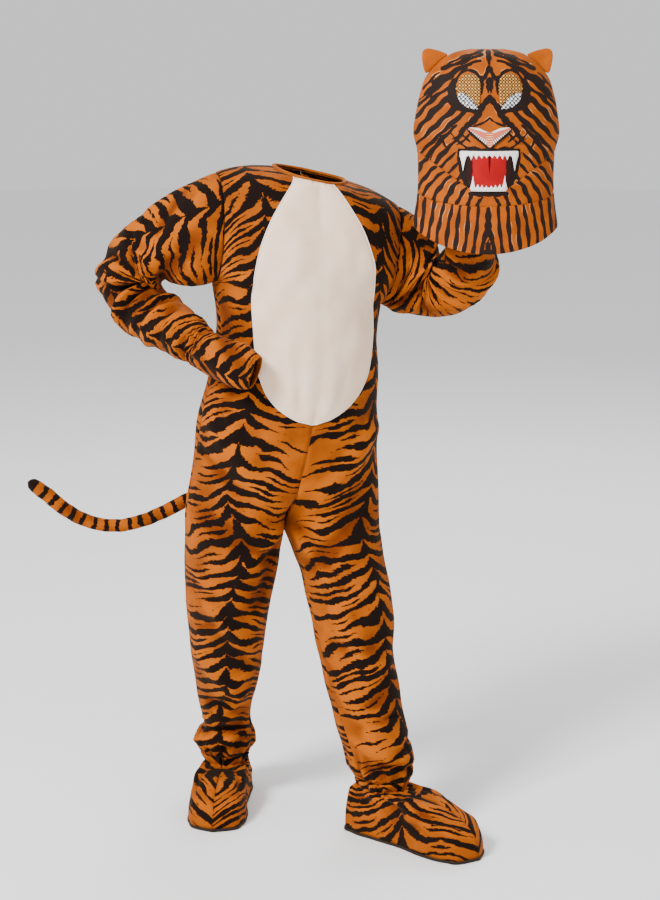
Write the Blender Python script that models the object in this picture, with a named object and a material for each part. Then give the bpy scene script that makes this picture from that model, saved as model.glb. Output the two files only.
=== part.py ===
"""Child's tiger costume, as worn, with its hood mask held up on the left hand.

The frame is the wearer's: +Z up, -Y to the front, left and right are the wearer's own.
The origin is the middle of the neck opening, where the costume hangs from the wearer.
Every panel is a wall of plush, one solid for each piece that a maker would cut.
"""
import math

import bpy
import bmesh
import numpy as np
from mathutils import Vector
from mathutils.bvhtree import BVHTree

WALL = 0.0020
SEAM_GAP = 0.0003
LAID_WALL = 0.0012
LAID_GAP = 0.0004
BINDING_HEIGHT = 0.0045
FLOOR = -0.994
CROTCH_HEIGHT = -0.530
ARMPIT_HEIGHT = -0.171
NECK_HALF_WIDTH = 0.054
NECK_FRONT_DEPTH = 0.060
NECK_BACK_DEPTH = 0.050
SHOULDER_HALF_WIDTH = 0.137
SHOULDER_TIP_HEIGHT = -0.018
ARMHOLE_DEPTH = 0.048
PANEL_COLUMNS = 7
SHOULDER_ROWS = 9
NECK_ROWS = 4
SLEEVE_SIDES = 2 * SHOULDER_ROWS
BLEND_TOP = -0.450
BLOUSE_HEIGHT = -0.820
TORSO_ROWS = 7
BLEND_ROWS = 4
CROTCH_ROW = SHOULDER_ROWS + TORSO_ROWS + BLEND_ROWS

ORANGE = (0.60, 0.19, 0.010)
PALE = (0.86, 0.74, 0.62)
BLACK = (0.018, 0.012, 0.010)
RED = (0.55, 0.012, 0.020)
WHITE = (0.85, 0.83, 0.80)
TAN = (0.50, 0.30, 0.12)
PINK = (0.80, 0.36, 0.30)
GREY = (0.45, 0.45, 0.46)

for old in list(bpy.data.objects):
    bpy.data.objects.remove(old, do_unlink=True)


class Table:
    """Rows of sizes with named columns, read on a smooth curve through the rows."""

    def __init__(self, columns, rows):
        self.columns = columns
        self.rows = np.array(rows, dtype=float)
        if self.rows[0, 0] > self.rows[-1, 0]:
            self.rows = self.rows[::-1]

    def read(self, column, at):
        x = self.rows[:, 0]
        y = self.rows[:, self.columns.index(column)]
        slope = np.gradient(y, x)
        at = min(max(at, x[0]), x[-1])
        k = min(max(int(np.searchsorted(x, at)) - 1, 0), len(x) - 2)
        step = x[k + 1] - x[k]
        t = (at - x[k]) / step
        start = (1 + 2 * t) * (1 - t) ** 2 * y[k] + t * (1 - t) ** 2 * step * slope[k]
        end = t * t * (3 - 2 * t) * y[k + 1] + t * t * (t - 1) * step * slope[k + 1]
        return start + end


TORSO = Table(
    ("height", "x", "y", "half_width", "half_depth", "turn", "lean"),
    [
        (0.010, 0.0000, 0.000, 0.137, 0.070, 14.0, 0.200),
        (-0.060, -0.0060, 0.000, 0.133, 0.084, 17.0, 0.190),
        (-0.120, -0.0140, 0.000, 0.130, 0.092, 20.0, 0.175),
        (-0.171, -0.0190, 0.001, 0.129, 0.095, 22.0, 0.163),
        (-0.234, -0.0180, 0.003, 0.1225, 0.095, 23.0, 0.100),
        (-0.306, -0.0260, 0.006, 0.132, 0.099, 23.0, 0.050),
        (-0.355, -0.0320, 0.008, 0.138, 0.101, 22.0, 0.020),
        (-0.406, -0.0360, 0.010, 0.141, 0.103, 18.0, 0.000),
        (-0.455, -0.0394, 0.010, 0.143, 0.104, 13.0, 0.000),
        (-0.530, -0.0410, 0.010, 0.148, 0.100, 11.0, 0.000),
    ])

LEG_COLUMNS = ("height", "x", "y", "half_width", "half_depth", "turn")
LEG = {
    "right": Table(LEG_COLUMNS, [
        (-0.530, -0.1142, -0.004, 0.0745, 0.086, 11.0),
        (-0.585, -0.1197, 0.006, 0.0713, 0.080, 10.0),
        (-0.673, -0.1273, 0.030, 0.0619, 0.070, 6.0),
        (-0.720, -0.1296, 0.046, 0.0573, 0.063, 3.0),
        (-0.790, -0.1314, 0.072, 0.0494, 0.054, -2.0),
        (-0.838, -0.1345, 0.092, 0.0400, 0.044, -5.0),
        (-0.866, -0.1330, 0.104, 0.0370, 0.041, -7.0),
        (-0.886, -0.1360, 0.110, 0.0470, 0.050, -9.0),
        (-0.902, -0.1362, 0.115, 0.0472, 0.050, -10.0),
        (-0.920, -0.1371, 0.120, 0.0360, 0.039, -11.0),
    ]),
    "left": Table(LEG_COLUMNS, [
        (-0.530, 0.0312, 0.024, 0.0735, 0.086, 11.0),
        (-0.582, 0.0467, 0.012, 0.0668, 0.080, 14.0),
        (-0.662, 0.0634, -0.005, 0.0623, 0.070, 20.0),
        (-0.716, 0.0680, -0.015, 0.0562, 0.064, 26.0),
        (-0.743, 0.0738, -0.020, 0.0560, 0.062, 29.0),
        (-0.781, 0.0822, -0.030, 0.0545, 0.060, 33.0),
        (-0.829, 0.0934, -0.038, 0.0520, 0.056, 38.0),
        (-0.872, 0.1050, -0.043, 0.0500, 0.053, 43.0),
        (-0.889, 0.1075, -0.046, 0.0475, 0.050, 45.0),
        (-0.905, 0.1099, -0.048, 0.0390, 0.041, 46.0),
    ]),
}

# A fold on a panel: ridges stand out, troughs go in; (x, z) runs from start to end.
PANEL_FOLDS = [
    # face, start x, start z, end x, end z, rise, half width
    ("front", -0.160, -0.330, -0.050, -0.480, 0.0050, 0.016),
    ("front", 0.090, -0.380, -0.010, -0.500, 0.0050, 0.015),
    ("front", -0.150, -0.500, -0.060, -0.560, -0.0045, 0.015),
    ("front", 0.080, -0.500, 0.010, -0.570, -0.0045, 0.015),
    ("front", -0.150, -0.640, -0.090, -0.720, 0.0045, 0.014),
    ("front", -0.170, -0.730, -0.110, -0.800, 0.0040, 0.013),
    ("front", 0.040, -0.640, 0.090, -0.740, 0.0045, 0.014),
    ("front", 0.050, -0.760, 0.110, -0.850, 0.0050, 0.013),
    ("front", -0.130, -0.190, -0.115, -0.300, -0.0035, 0.012),
    ("back", -0.110, -0.300, -0.010, -0.400, 0.0050, 0.017),
    ("back", 0.070, -0.330, -0.020, -0.440, 0.0050, 0.017),
    ("back", -0.150, -0.520, -0.070, -0.580, -0.0045, 0.016),
    ("back", 0.070, -0.520, 0.000, -0.590, -0.0045, 0.016),
    ("back", -0.160, -0.690, -0.090, -0.760, 0.0050, 0.015),
    ("back", 0.040, -0.660, 0.100, -0.740, 0.0050, 0.015),
    ("back", -0.080, -0.090, -0.020, -0.200, 0.0040, 0.018),
    ("back", 0.070, -0.100, 0.010, -0.210, 0.0040, 0.018),
]

SLEEVE_COLUMNS = ("ring", "x", "y", "z", "half_up", "half_front")
SLEEVE = {
    "right": Table(SLEEVE_COLUMNS, [
        (0, -0.1400, -0.002, -0.070, 0.078, 0.048),
        (1, -0.160, -0.047, -0.080, 0.070, 0.054),
        (2, -0.186, -0.042, -0.090, 0.062, 0.054),
        (3, -0.211, -0.034, -0.099, 0.055, 0.052),
        (4, -0.236, -0.024, -0.110, 0.050, 0.049),
        (5, -0.257, -0.015, -0.130, 0.047, 0.047),
        (6, -0.262, -0.013, -0.158, 0.045, 0.045),
        (7, -0.251, -0.020, -0.184, 0.042, 0.043),
        (8, -0.229, -0.032, -0.202, 0.040, 0.041),
        (9, -0.207, -0.047, -0.214, 0.037, 0.038),
        (10, -0.185, -0.062, -0.226, 0.035, 0.035),
        (11, -0.166, -0.076, -0.236, 0.031, 0.031),
        (12, -0.156, -0.084, -0.242, 0.0265, 0.027),
        (13, -0.150, -0.089, -0.245, 0.0285, 0.029),
    ]),
    "left": Table(SLEEVE_COLUMNS, [
        (0, 0.1140, -0.004, -0.118, 0.076, 0.048),
        (1, 0.134, 0.051, -0.130, 0.070, 0.054),
        (2, 0.146, 0.0535, -0.142, 0.065, 0.054),
        (3, 0.157, 0.0550, -0.154, 0.060, 0.053),
        (4, 0.177, 0.0541, -0.165, 0.050, 0.049),
        (5, 0.199, 0.0465, -0.168, 0.046, 0.046),
        (6, 0.217, 0.0340, -0.161, 0.043, 0.043),
        (7, 0.229, 0.0180, -0.147, 0.040, 0.040),
        (8, 0.234, 0.0010, -0.127, 0.038, 0.038),
        (9, 0.238, -0.0215, -0.106, 0.0335, 0.0335),
        (10, 0.242, -0.0365, -0.078, 0.0315, 0.0315),
        (11, 0.2465, -0.0450, -0.048, 0.030, 0.030),
        (12, 0.249, -0.050, -0.030, 0.026, 0.026),
        (13, 0.250, -0.051, -0.021, 0.028, 0.028),
    ]),
}
SLEEVE_RINGS = 16
BEND_ROOM = 0.86

# A fold on a tube: where it lies along and around (0 is the top, 90 the front), how it slants.
TUBE_FOLDS = {
    "right": [
        # along, around, slant, half length, half angle, rise
        (0.16, 75.0, 40.0, 0.13, 22.0, 0.0070),
        (0.22, 130.0, 55.0, 0.12, 20.0, -0.0070),
        (0.20, 20.0, 30.0, 0.12, 20.0, 0.0060),
        (0.30, 250.0, -40.0, 0.12, 24.0, 0.0060),
        (0.40, 60.0, -70.0, 0.07, 26.0, 0.0060),
        (0.47, 100.0, -80.0, 0.05, 26.0, -0.0060),
        (0.53, 70.0, -80.0, 0.05, 30.0, 0.0060),
        (0.64, 110.0, 60.0, 0.05, 34.0, -0.0050),
        (0.70, 60.0, 60.0, 0.05, 34.0, 0.0050),
        (0.78, 120.0, 60.0, 0.04, 36.0, 0.0045),
        (0.86, 50.0, -50.0, 0.04, 36.0, -0.0040),
        (0.75, 250.0, 50.0, 0.06, 34.0, 0.0050),
    ],
    "left": [
        (0.14, 100.0, -60.0, 0.14, 20.0, 0.0080),
        (0.20, 140.0, -60.0, 0.12, 20.0, -0.0070),
        (0.26, 60.0, 50.0, 0.11, 20.0, 0.0070),
        (0.24, 260.0, 40.0, 0.12, 24.0, 0.0060),
        (0.40, 80.0, 60.0, 0.07, 24.0, -0.0060),
        (0.46, 120.0, 80.0, 0.06, 26.0, 0.0060),
        (0.56, 60.0, -60.0, 0.06, 28.0, 0.0050),
        (0.64, 110.0, 50.0, 0.05, 32.0, -0.0045),
        (0.60, 240.0, 50.0, 0.06, 32.0, 0.0050),
        (0.76, 60.0, 50.0, 0.05, 34.0, 0.0040),
    ],
}


def unit(vector):
    return vector / max(float(np.linalg.norm(vector)), 1e-9)


def torso_axes(height):
    """The torso's middle, its direction to the wearer's left, and its facing direction."""
    turn = math.radians(TORSO.read("turn", height))
    middle = np.array([TORSO.read("x", height), TORSO.read("y", height), height])
    left = np.array([math.cos(turn), math.sin(turn), 0.0])
    facing = np.array([math.sin(turn), -math.cos(turn), 0.0])
    return middle, left, facing


def torso_point(across, forward, height):
    """A point given across (to the wearer's left), forward and by height, with the shoulders' lean."""
    middle, left, facing = torso_axes(height)
    point = middle + left * across + facing * forward
    point[2] -= TORSO.read("lean", height) * across
    return point


def leg_point(side, angle, height):
    """A point of a leg's ring; the angle runs from the inseam (-90) by the front to the side (90)."""
    sign = 1 if side == "left" else -1
    table = LEG[side]
    turn = math.radians(table.read("turn", height))
    left = np.array([math.cos(turn), math.sin(turn), 0.0])
    facing = np.array([math.sin(turn), -math.cos(turn), 0.0])
    middle = np.array([table.read("x", height), table.read("y", height), height])
    across = sign * table.read("half_width", height) * math.sin(angle)
    forward = table.read("half_depth", height) * math.cos(angle)
    return middle + left * across + facing * forward


def armhole_point(face, part):
    """The armhole from the shoulder's tip (0) to the armpit (1), in torso measures."""
    middle = (SHOULDER_TIP_HEIGHT + ARMPIT_HEIGHT) / 2
    half = (SHOULDER_TIP_HEIGHT - ARMPIT_HEIGHT) / 2
    across = SHOULDER_HALF_WIDTH + (TORSO.read("half_width", ARMPIT_HEIGHT) - SHOULDER_HALF_WIDTH) * part
    return np.array([across, face * ARMHOLE_DEPTH * math.sin(math.pi * part),
                     middle + half * math.cos(math.pi * part)])


def centre_edge_point(face, part):
    """The neckline, then the centre seam down to the level of the armpits."""
    neckline_part = NECK_ROWS / SHOULDER_ROWS
    depth = NECK_FRONT_DEPTH if face > 0 else NECK_BACK_DEPTH
    low = -0.006 if face > 0 else 0.006
    side_height = 0.004
    if part <= neckline_part:
        angle = part / neckline_part * math.pi / 2
        height = side_height + (low - side_height) * math.sin(angle)
        return np.array([NECK_HALF_WIDTH * math.cos(angle), face * depth * math.sin(angle), height])
    down = (part - neckline_part) / (1 - neckline_part)
    height = low + (ARMPIT_HEIGHT - low) * down
    full = TORSO.read("half_depth", ARMPIT_HEIGHT)
    forward = depth + (full - depth) * math.sin(down * math.pi / 2)
    return np.array([0.0, face * forward, height])


def shoulder_point(face, across_part, part):
    """A point of a panel above the armpits, blended from its four edges (torso measures)."""
    u, v = across_part, part
    rounded = math.sin(v * math.pi / 2)
    blend = np.array([v, rounded, v])
    neck = np.array([NECK_HALF_WIDTH, 0.0, 0.004])
    tip = np.array([SHOULDER_HALF_WIDTH, 0.0, SHOULDER_TIP_HEIGHT])
    angle = u * math.pi / 2
    width = TORSO.read("half_width", ARMPIT_HEIGHT)
    depth = TORSO.read("half_depth", ARMPIT_HEIGHT)
    ring = np.array([width * math.sin(angle), face * depth * math.cos(angle), ARMPIT_HEIGHT])
    centre_low = np.array([0.0, face * depth, ARMPIT_HEIGHT])
    armpit = np.array([width, 0.0, ARMPIT_HEIGHT])
    seam = neck + (tip - neck) * u
    seam[2] += 0.004 * math.sin(math.pi * u)
    edges = (1 - blend) * seam + blend * ring
    edges += (1 - u) * centre_edge_point(face, v) + u * armhole_point(face, v)
    corners = (1 - u) * ((1 - blend) * neck + blend * centre_low)
    corners += u * ((1 - blend) * tip + blend * armpit)
    return edges - corners


def fold_height(face, point):
    """How far the cloth stands out at a point of a panel, from the table of folds."""
    total = 0.0
    for fold_face, x0, z0, x1, z1, rise, half_width in PANEL_FOLDS:
        if fold_face != face:
            continue
        run = np.array([x1 - x0, z1 - z0])
        offset = np.array([point[0] - x0, point[2] - z0])
        along = float(offset @ run) / float(run @ run)
        beside = abs(offset[0] * run[1] - offset[1] * run[0]) / float(np.linalg.norm(run))
        past = max(0.0, -along, along - 1.0) * float(np.linalg.norm(run))
        total += rise * math.exp(-(beside * beside + past * past) / (half_width * half_width))
    return total


def panel_rows(side):
    """Heights of a body panel's rows below the armpits, closer together at the crotch and the hem."""
    hem = LEG[side].rows[0, 0]
    stretches = [
        (ARMPIT_HEIGHT, BLEND_TOP, TORSO_ROWS),
        (BLEND_TOP, CROTCH_HEIGHT, BLEND_ROWS),
        (CROTCH_HEIGHT, BLOUSE_HEIGHT, 8),
        (BLOUSE_HEIGHT, hem, 6),
    ]
    heights = []
    for top, bottom, count in stretches:
        for step in range(1, count + 1):
            heights.append(top + (bottom - top) * step / count)
    return heights


def panel_grid(side, face_name):
    """Rows of points of one body panel, from the centre or inseam to the armhole and side seam."""
    sign = 1 if side == "left" else -1
    face = 1 if face_name == "front" else -1
    rows = []
    for step in range(SHOULDER_ROWS + 1):
        row = []
        for column in range(PANEL_COLUMNS + 1):
            across, forward, height = shoulder_point(face, column / PANEL_COLUMNS, step / SHOULDER_ROWS)
            row.append(torso_point(sign * across, forward, height))
        rows.append(row)
    for height in panel_rows(side):
        row = []
        weight = min(max((BLEND_TOP - height) / (BLEND_TOP - CROTCH_HEIGHT), 0.0), 1.0)
        weight = weight * weight * (3 - 2 * weight)
        for column in range(PANEL_COLUMNS + 1):
            part = column / PANEL_COLUMNS
            around = part * math.pi / 2
            width = TORSO.read("half_width", height)
            depth = TORSO.read("half_depth", height)
            body = torso_point(sign * width * math.sin(around), face * depth * math.cos(around), height)
            angle = math.pi * part - math.pi / 2
            if face < 0:
                angle = math.pi - angle
            leg = leg_point(side, angle, max(height, LEG[side].rows[0, 0]))
            if height > CROTCH_HEIGHT:
                leg = leg_point(side, angle, CROTCH_HEIGHT)
                leg[2] = height
            row.append(body * (1 - weight) + leg * weight)
        rows.append(row)
    return np.array(rows)


def grid_normals(grid, outward_from, wraps=False):
    """Normals of a grid of points, turned away from each row's middle."""
    closed = np.concatenate([grid, grid[:, :1]], axis=1) if wraps else grid
    first = closed[1:, 1:] - closed[:-1, :-1]
    second = closed[1:, :-1] - closed[:-1, 1:]
    cells = np.cross(first, second)
    cells /= np.maximum(np.linalg.norm(cells, axis=2, keepdims=True), 1e-12)
    rows, columns = grid.shape[:2]
    total = np.zeros_like(grid)
    for row_step in (0, -1):
        for column_step in (0, -1):
            for r in range(rows):
                cell_row = r + row_step
                if not 0 <= cell_row < cells.shape[0]:
                    continue
                for c in range(columns):
                    cell_column = c + column_step
                    if wraps:
                        cell_column %= cells.shape[1]
                    if 0 <= cell_column < cells.shape[1]:
                        total[r, c] += cells[cell_row, cell_column]
    normals = total / np.maximum(np.linalg.norm(total, axis=2, keepdims=True), 1e-9)
    outward = grid - outward_from[:, None, :]
    if float((normals * outward).sum()) < 0:
        normals = -normals
    return normals


def shift_edge(grid, edge, amount=SEAM_GAP / 2):
    """Draw one edge of a grid back into its own panel by half a seam gap."""
    picks = {
        "first_column": (np.s_[:, 0], np.s_[:, 1]),
        "last_column": (np.s_[:, -1], np.s_[:, -2]),
        "first_row": (np.s_[0, :], np.s_[1, :]),
        "last_row": (np.s_[-1, :], np.s_[-2, :]),
    }
    at, inner = picks[edge]
    toward = grid[inner] - grid[at]
    toward /= np.maximum(np.linalg.norm(toward, axis=-1, keepdims=True), 1e-9)
    grid[at] = grid[at] + toward * amount


def add_object(name, mesh_data, colour, roughness=0.85):
    """Make an object with its own material from a bmesh, with its faces pointing out."""
    bmesh.ops.triangulate(mesh_data, faces=[f for f in mesh_data.faces if len(f.verts) > 4])
    if mesh_data.calc_volume(signed=True) < 0:
        bmesh.ops.reverse_faces(mesh_data, faces=mesh_data.faces)
    mesh = bpy.data.meshes.new(name)
    mesh_data.to_mesh(mesh)
    mesh_data.free()
    material = bpy.data.materials.new(name + "_cloth")
    material.use_nodes = True
    shader = material.node_tree.nodes["Principled BSDF"]
    shader.inputs["Base Color"].default_value = (*colour, 1.0)
    shader.inputs["Roughness"].default_value = roughness
    shader.inputs["Metallic"].default_value = 0.0
    mesh.materials.append(material)
    mesh.shade_smooth()
    mesh.set_sharp_from_angle(angle=math.radians(40))
    thing = bpy.data.objects.new(name, mesh)
    bpy.context.scene.collection.objects.link(thing)
    return thing


def wall_mesh(grid, inward, wraps=False, skipped=()):
    """A closed wall: the grid, the same grid moved by inward, and rims round its open edges."""
    mesh_data = bmesh.new()
    rows, columns = grid.shape[:2]
    made = {}
    open_edges = {}

    def corner(r, c):
        key = tuple(np.round(grid[r, c % columns], 6))
        if key not in made:
            outer = mesh_data.verts.new(grid[r, c % columns])
            inner = mesh_data.verts.new(grid[r, c % columns] + inward[r, c % columns])
            made[key] = (outer, inner)
        return key

    for r in range(rows - 1):
        for c in range(columns if wraps else columns - 1):
            if (r, c) in skipped:
                continue
            a, b, d, e = corner(r, c), corner(r, c + 1), corner(r + 1, c + 1), corner(r + 1, c)
            for triangle in ((a, b, d), (a, d, e)):
                if len(set(triangle)) < 3:
                    continue
                mesh_data.faces.new([made[key][0] for key in triangle])
                mesh_data.faces.new([made[key][1] for key in reversed(triangle)])
                for k in range(3):
                    edge = (triangle[k], triangle[(k + 1) % 3])
                    if edge[::-1] in open_edges:
                        del open_edges[edge[::-1]]
                    else:
                        open_edges[edge] = True
    for start, end in open_edges:
        outer_start, inner_start = made[start]
        outer_end, inner_end = made[end]
        mesh_data.faces.new((outer_end, outer_start, inner_start))
        mesh_data.faces.new((outer_end, inner_start, inner_end))
    return mesh_data


def shared_normals(first, second):
    """The average of two edges' normals, and how much longer a mitred wall is there."""
    both = first + second
    both /= np.maximum(np.linalg.norm(both, axis=-1, keepdims=True), 1e-9)
    cosine = np.maximum((both * first).sum(axis=-1, keepdims=True), 0.7)
    return both / cosine


def outline_patch(name, grid, normals, corners, direction, colour, skipped=()):
    """A piece laid on a panel: the panel's own points moved out, cut to an outline seen along a direction."""
    lifted = grid + normals * (LAID_GAP + LAID_WALL)
    sheet = wall_mesh(lifted, -normals * LAID_WALL, skipped=skipped)
    sheet_object = add_object(name, sheet, colour)
    cutter_data = bmesh.new()
    reach = np.array(direction) * 0.30
    near = [cutter_data.verts.new(np.array(point) + reach) for point in corners]
    far = [cutter_data.verts.new(np.array(point) - reach) for point in corners]
    cutter_data.faces.new(near)
    cutter_data.faces.new(far[::-1])
    for k in range(len(corners)):
        n = (k + 1) % len(corners)
        cutter_data.faces.new((near[n], near[k], far[k], far[n]))
    bmesh.ops.recalc_face_normals(cutter_data, faces=cutter_data.faces)
    cutter = add_object(name + "_cutter", cutter_data, colour)
    cut = sheet_object.modifiers.new("outline", "BOOLEAN")
    cut.operation = "INTERSECT"
    cut.solver = "EXACT"
    cut.object = cutter
    bpy.context.view_layer.update()
    evaluated = sheet_object.evaluated_get(bpy.context.evaluated_depsgraph_get())
    result = bpy.data.meshes.new_from_object(evaluated)
    sheet_object.modifiers.clear()
    sheet_object.data = result
    sheet_object.name = name
    bpy.data.objects.remove(cutter, do_unlink=True)
    return sheet_object


# The four body panels are worked out together, so that walls that share a seam are mitred alike.
GRIDS = {}
NORMALS = {}
for side_name in ("right", "left"):
    for face_name in ("front", "back"):
        grid = panel_grid(side_name, face_name)
        row_middles = grid[:, [0, -1]].mean(axis=1)
        row_middles[:SHOULDER_ROWS + 1] = np.array([0.0, 0.0, -0.120])
        GRIDS[side_name, face_name] = grid
        NORMALS[side_name, face_name] = grid_normals(grid, row_middles)

for side_name in ("right", "left"):
    for face_name in ("front", "back"):
        grid = GRIDS[side_name, face_name]
        normals = NORMALS[side_name, face_name]
        for r in range(SHOULDER_ROWS, grid.shape[0] - 1):
            for c in range(grid.shape[1]):
                quiet = math.sin(math.pi * c / PANEL_COLUMNS) ** 0.5
                grid[r, c] += normals[r, c] * fold_height(face_name, grid[r, c]) * quiet
for side_name in ("right", "left"):
    front, back = NORMALS[side_name, "front"], NORMALS[side_name, "back"]
    first_row = shared_normals(front[0], back[0])
    front[0] = back[0] = first_row
    side_column = shared_normals(front[SHOULDER_ROWS:, -1], back[SHOULDER_ROWS:, -1])
    front[SHOULDER_ROWS:, -1] = back[SHOULDER_ROWS:, -1] = side_column
    inseam = shared_normals(front[CROTCH_ROW:, 0], back[CROTCH_ROW:, 0])
    front[CROTCH_ROW:, 0] = back[CROTCH_ROW:, 0] = inseam
    for normals in (front, back):
        normals[-1, :, 2] = 0.0
        normals[-1] /= np.linalg.norm(normals[-1], axis=1, keepdims=True)
for face_name in ("front", "back"):
    first, second = NORMALS["right", face_name], NORMALS["left", face_name]
    middle = shared_normals(first[NECK_ROWS:CROTCH_ROW, 0], second[NECK_ROWS:CROTCH_ROW, 0])
    first[NECK_ROWS:CROTCH_ROW, 0] = second[NECK_ROWS:CROTCH_ROW, 0] = middle


def sleeve_ring_points(side):
    """Rings of a sleeve, from the armhole along the bent arm to the gathered wrist."""
    table = SLEEVE[side]
    last = len(table.rows) - 1
    front = GRIDS[side, "front"][:SHOULDER_ROWS + 1, -1]
    back = GRIDS[side, "back"][:SHOULDER_ROWS + 1, -1]
    loop = np.concatenate([front, back[1:-1][::-1]])
    middle = loop.mean(axis=0)
    marks = [k * last / (SLEEVE_RINGS - 1) for k in range(SLEEVE_RINGS)]
    centres = np.array([[table.read(axis, mark) for axis in "xyz"] for mark in marks])
    centres[0] = middle
    tangents = np.gradient(centres, axis=0)
    tangents /= np.linalg.norm(tangents, axis=1, keepdims=True)
    second = np.gradient(tangents, axis=0)
    spans = np.linalg.norm(np.gradient(centres, axis=0), axis=1)
    up = unit(front[0] - middle)
    facing = unit(front[SHOULDER_ROWS // 2] - middle)
    rings = []
    for k, mark in enumerate(marks):
        up = unit(up - tangents[k] * float(up @ tangents[k]))
        ahead = np.cross(tangents[k], up)
        if float(ahead @ facing) < 0:
            ahead = -ahead
        facing = ahead
        joined = min(k / 4.0, 1.0)
        ring = []
        for s in range(SLEEVE_SIDES):
            angle = 2 * math.pi * s / SLEEVE_SIDES
            out = up * math.cos(angle) * table.read("half_up", mark)
            out = out + ahead * math.sin(angle) * table.read("half_front", mark)
            reach = float(np.linalg.norm(out))
            reach += tube_fold(side, mark / last, angle) * joined
            bend = second[k] / spans[k]
            inward_bend = float(bend @ unit(out))
            if inward_bend > 0:
                reach = min(reach, BEND_ROOM / inward_bend)
            round_point = centres[k] + unit(out) * reach
            sewn_point = centres[k] + (loop[s] - middle)
            ring.append(sewn_point * (1 - joined) + round_point * joined)
        rings.append(ring)
    return np.array(rings), centres, tangents, up, facing


def tube_fold(side, along, angle):
    """How far a sleeve stands out at a place, from its table of folds."""
    total = 0.0
    degrees = math.degrees(angle)
    for at, around, slant, half_length, half_angle, rise in TUBE_FOLDS[side]:
        off = along - at
        turn = (degrees - around - slant * off / half_length + 180.0) % 360.0 - 180.0
        total += rise * math.exp(-(off / half_length) ** 2 - (turn / half_angle) ** 2)
    return total


SLEEVE_RESULTS = {}
for side_name in ("right", "left"):
    rings, centres, tangents, up, facing = sleeve_ring_points(side_name)
    normals = grid_normals(rings, centres, wraps=True)
    front, back = NORMALS[side_name, "front"], NORMALS[side_name, "back"]
    loop_normals = np.concatenate([front[:SHOULDER_ROWS + 1, -1], back[1:SHOULDER_ROWS, -1][::-1]])
    shared = shared_normals(loop_normals, normals[0])
    front[:SHOULDER_ROWS + 1, -1] = shared[:SHOULDER_ROWS + 1]
    back[0, -1] = shared[0]
    back[SHOULDER_ROWS, -1] = shared[SHOULDER_ROWS]
    back[1:SHOULDER_ROWS, -1] = shared[SHOULDER_ROWS + 1:][::-1]
    normals[0] = shared
    SLEEVE_RESULTS[side_name] = (rings, normals, tangents[-1], up, facing)

for side_name in ("right", "left"):
    for face_name in ("front", "back"):
        grid = GRIDS[side_name, face_name].copy()
        for edge in ("first_row", "last_column", "first_column"):
            shift_edge(grid, edge)
        wall_vectors = -NORMALS[side_name, face_name] * WALL
        if side_name == "right":
            grid, wall_vectors = grid[:, ::-1], wall_vectors[:, ::-1]
        walls = wall_mesh(grid, wall_vectors)
        add_object(face_name + "_" + side_name, walls, ORANGE)
    rings, normals, _, _, _ = SLEEVE_RESULTS[side_name]
    rings = rings.copy()
    shift_edge(rings, "first_row")
    add_object("sleeve_" + side_name, wall_mesh(rings, -normals * WALL, wraps=True), ORANGE)


def panel_pair(face_name, first_row, last_row):
    """The two fronts or backs as one grid, for a piece laid across their seam, and its open neckline cells."""
    rows = slice(first_row, last_row + 1)
    grid = np.concatenate([GRIDS["right", face_name][rows][:, ::-1], GRIDS["left", face_name][rows]], axis=1)
    vectors = [NORMALS["right", face_name][rows][:, ::-1], NORMALS["left", face_name][rows]]
    skipped = [(r, PANEL_COLUMNS) for r in range(NECK_ROWS - first_row)]
    return grid, np.concatenate(vectors, axis=1), skipped


BELLY = Table(("height", "half_width"), [
    (0.0005, 0.028), (-0.025, 0.046), (-0.065, 0.070), (-0.101, 0.084), (-0.150, 0.093),
    (-0.200, 0.095), (-0.250, 0.092), (-0.290, 0.084), (-0.315, 0.071), (-0.335, 0.051),
    (-0.348, 0.028), (-0.3550, 0.010),
])


def belly_outline():
    """The shield's outline: down the right edge, round the bottom and up the left edge."""
    heights = [row[0] for row in BELLY.rows[::-1]]
    right = [torso_point(-BELLY.read("half_width", h), 0.10, h) for h in heights]
    left = [torso_point(BELLY.read("half_width", h), 0.10, h) for h in reversed(heights)]
    return right + left


_, _, chest_facing = torso_axes(-0.200)
belly_grid, belly_normals, neckline_cells = panel_pair("front", 2, SHOULDER_ROWS + TORSO_ROWS)
outline_patch("belly_panel", belly_grid, belly_normals, belly_outline(), chest_facing, PALE, neckline_cells)

PLACKET_HALF_WIDTH = 0.014
PLACKET_TOP = -0.002
PLACKET_BOTTOM = -0.360
placket_outline = []
for sign in (1, -1):
    ends = (PLACKET_TOP, PLACKET_BOTTOM) if sign > 0 else (PLACKET_BOTTOM, PLACKET_TOP)
    for step in range(9):
        h = ends[0] + (ends[1] - ends[0]) * step / 8
        placket_outline.append(torso_point(sign * PLACKET_HALF_WIDTH, -0.10, h))
back_grid, back_normals, _ = panel_pair("back", NECK_ROWS, SHOULDER_ROWS + TORSO_ROWS)
outline_patch("back_placket", back_grid, back_normals, placket_outline, chest_facing, ORANGE)


def neck_loop():
    """The neckline from the centre back round the right side and the front to the centre back again."""
    points = []
    for side, face_name in (("right", "back"), ("right", "front"), ("left", "front"), ("left", "back")):
        edge = GRIDS[side, face_name][:NECK_ROWS + 1, 0]
        if (side, face_name) in (("right", "back"), ("left", "front")):
            edge = edge[::-1]
        points.extend(edge[1:] if points else edge)
    return np.array(points)


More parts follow.
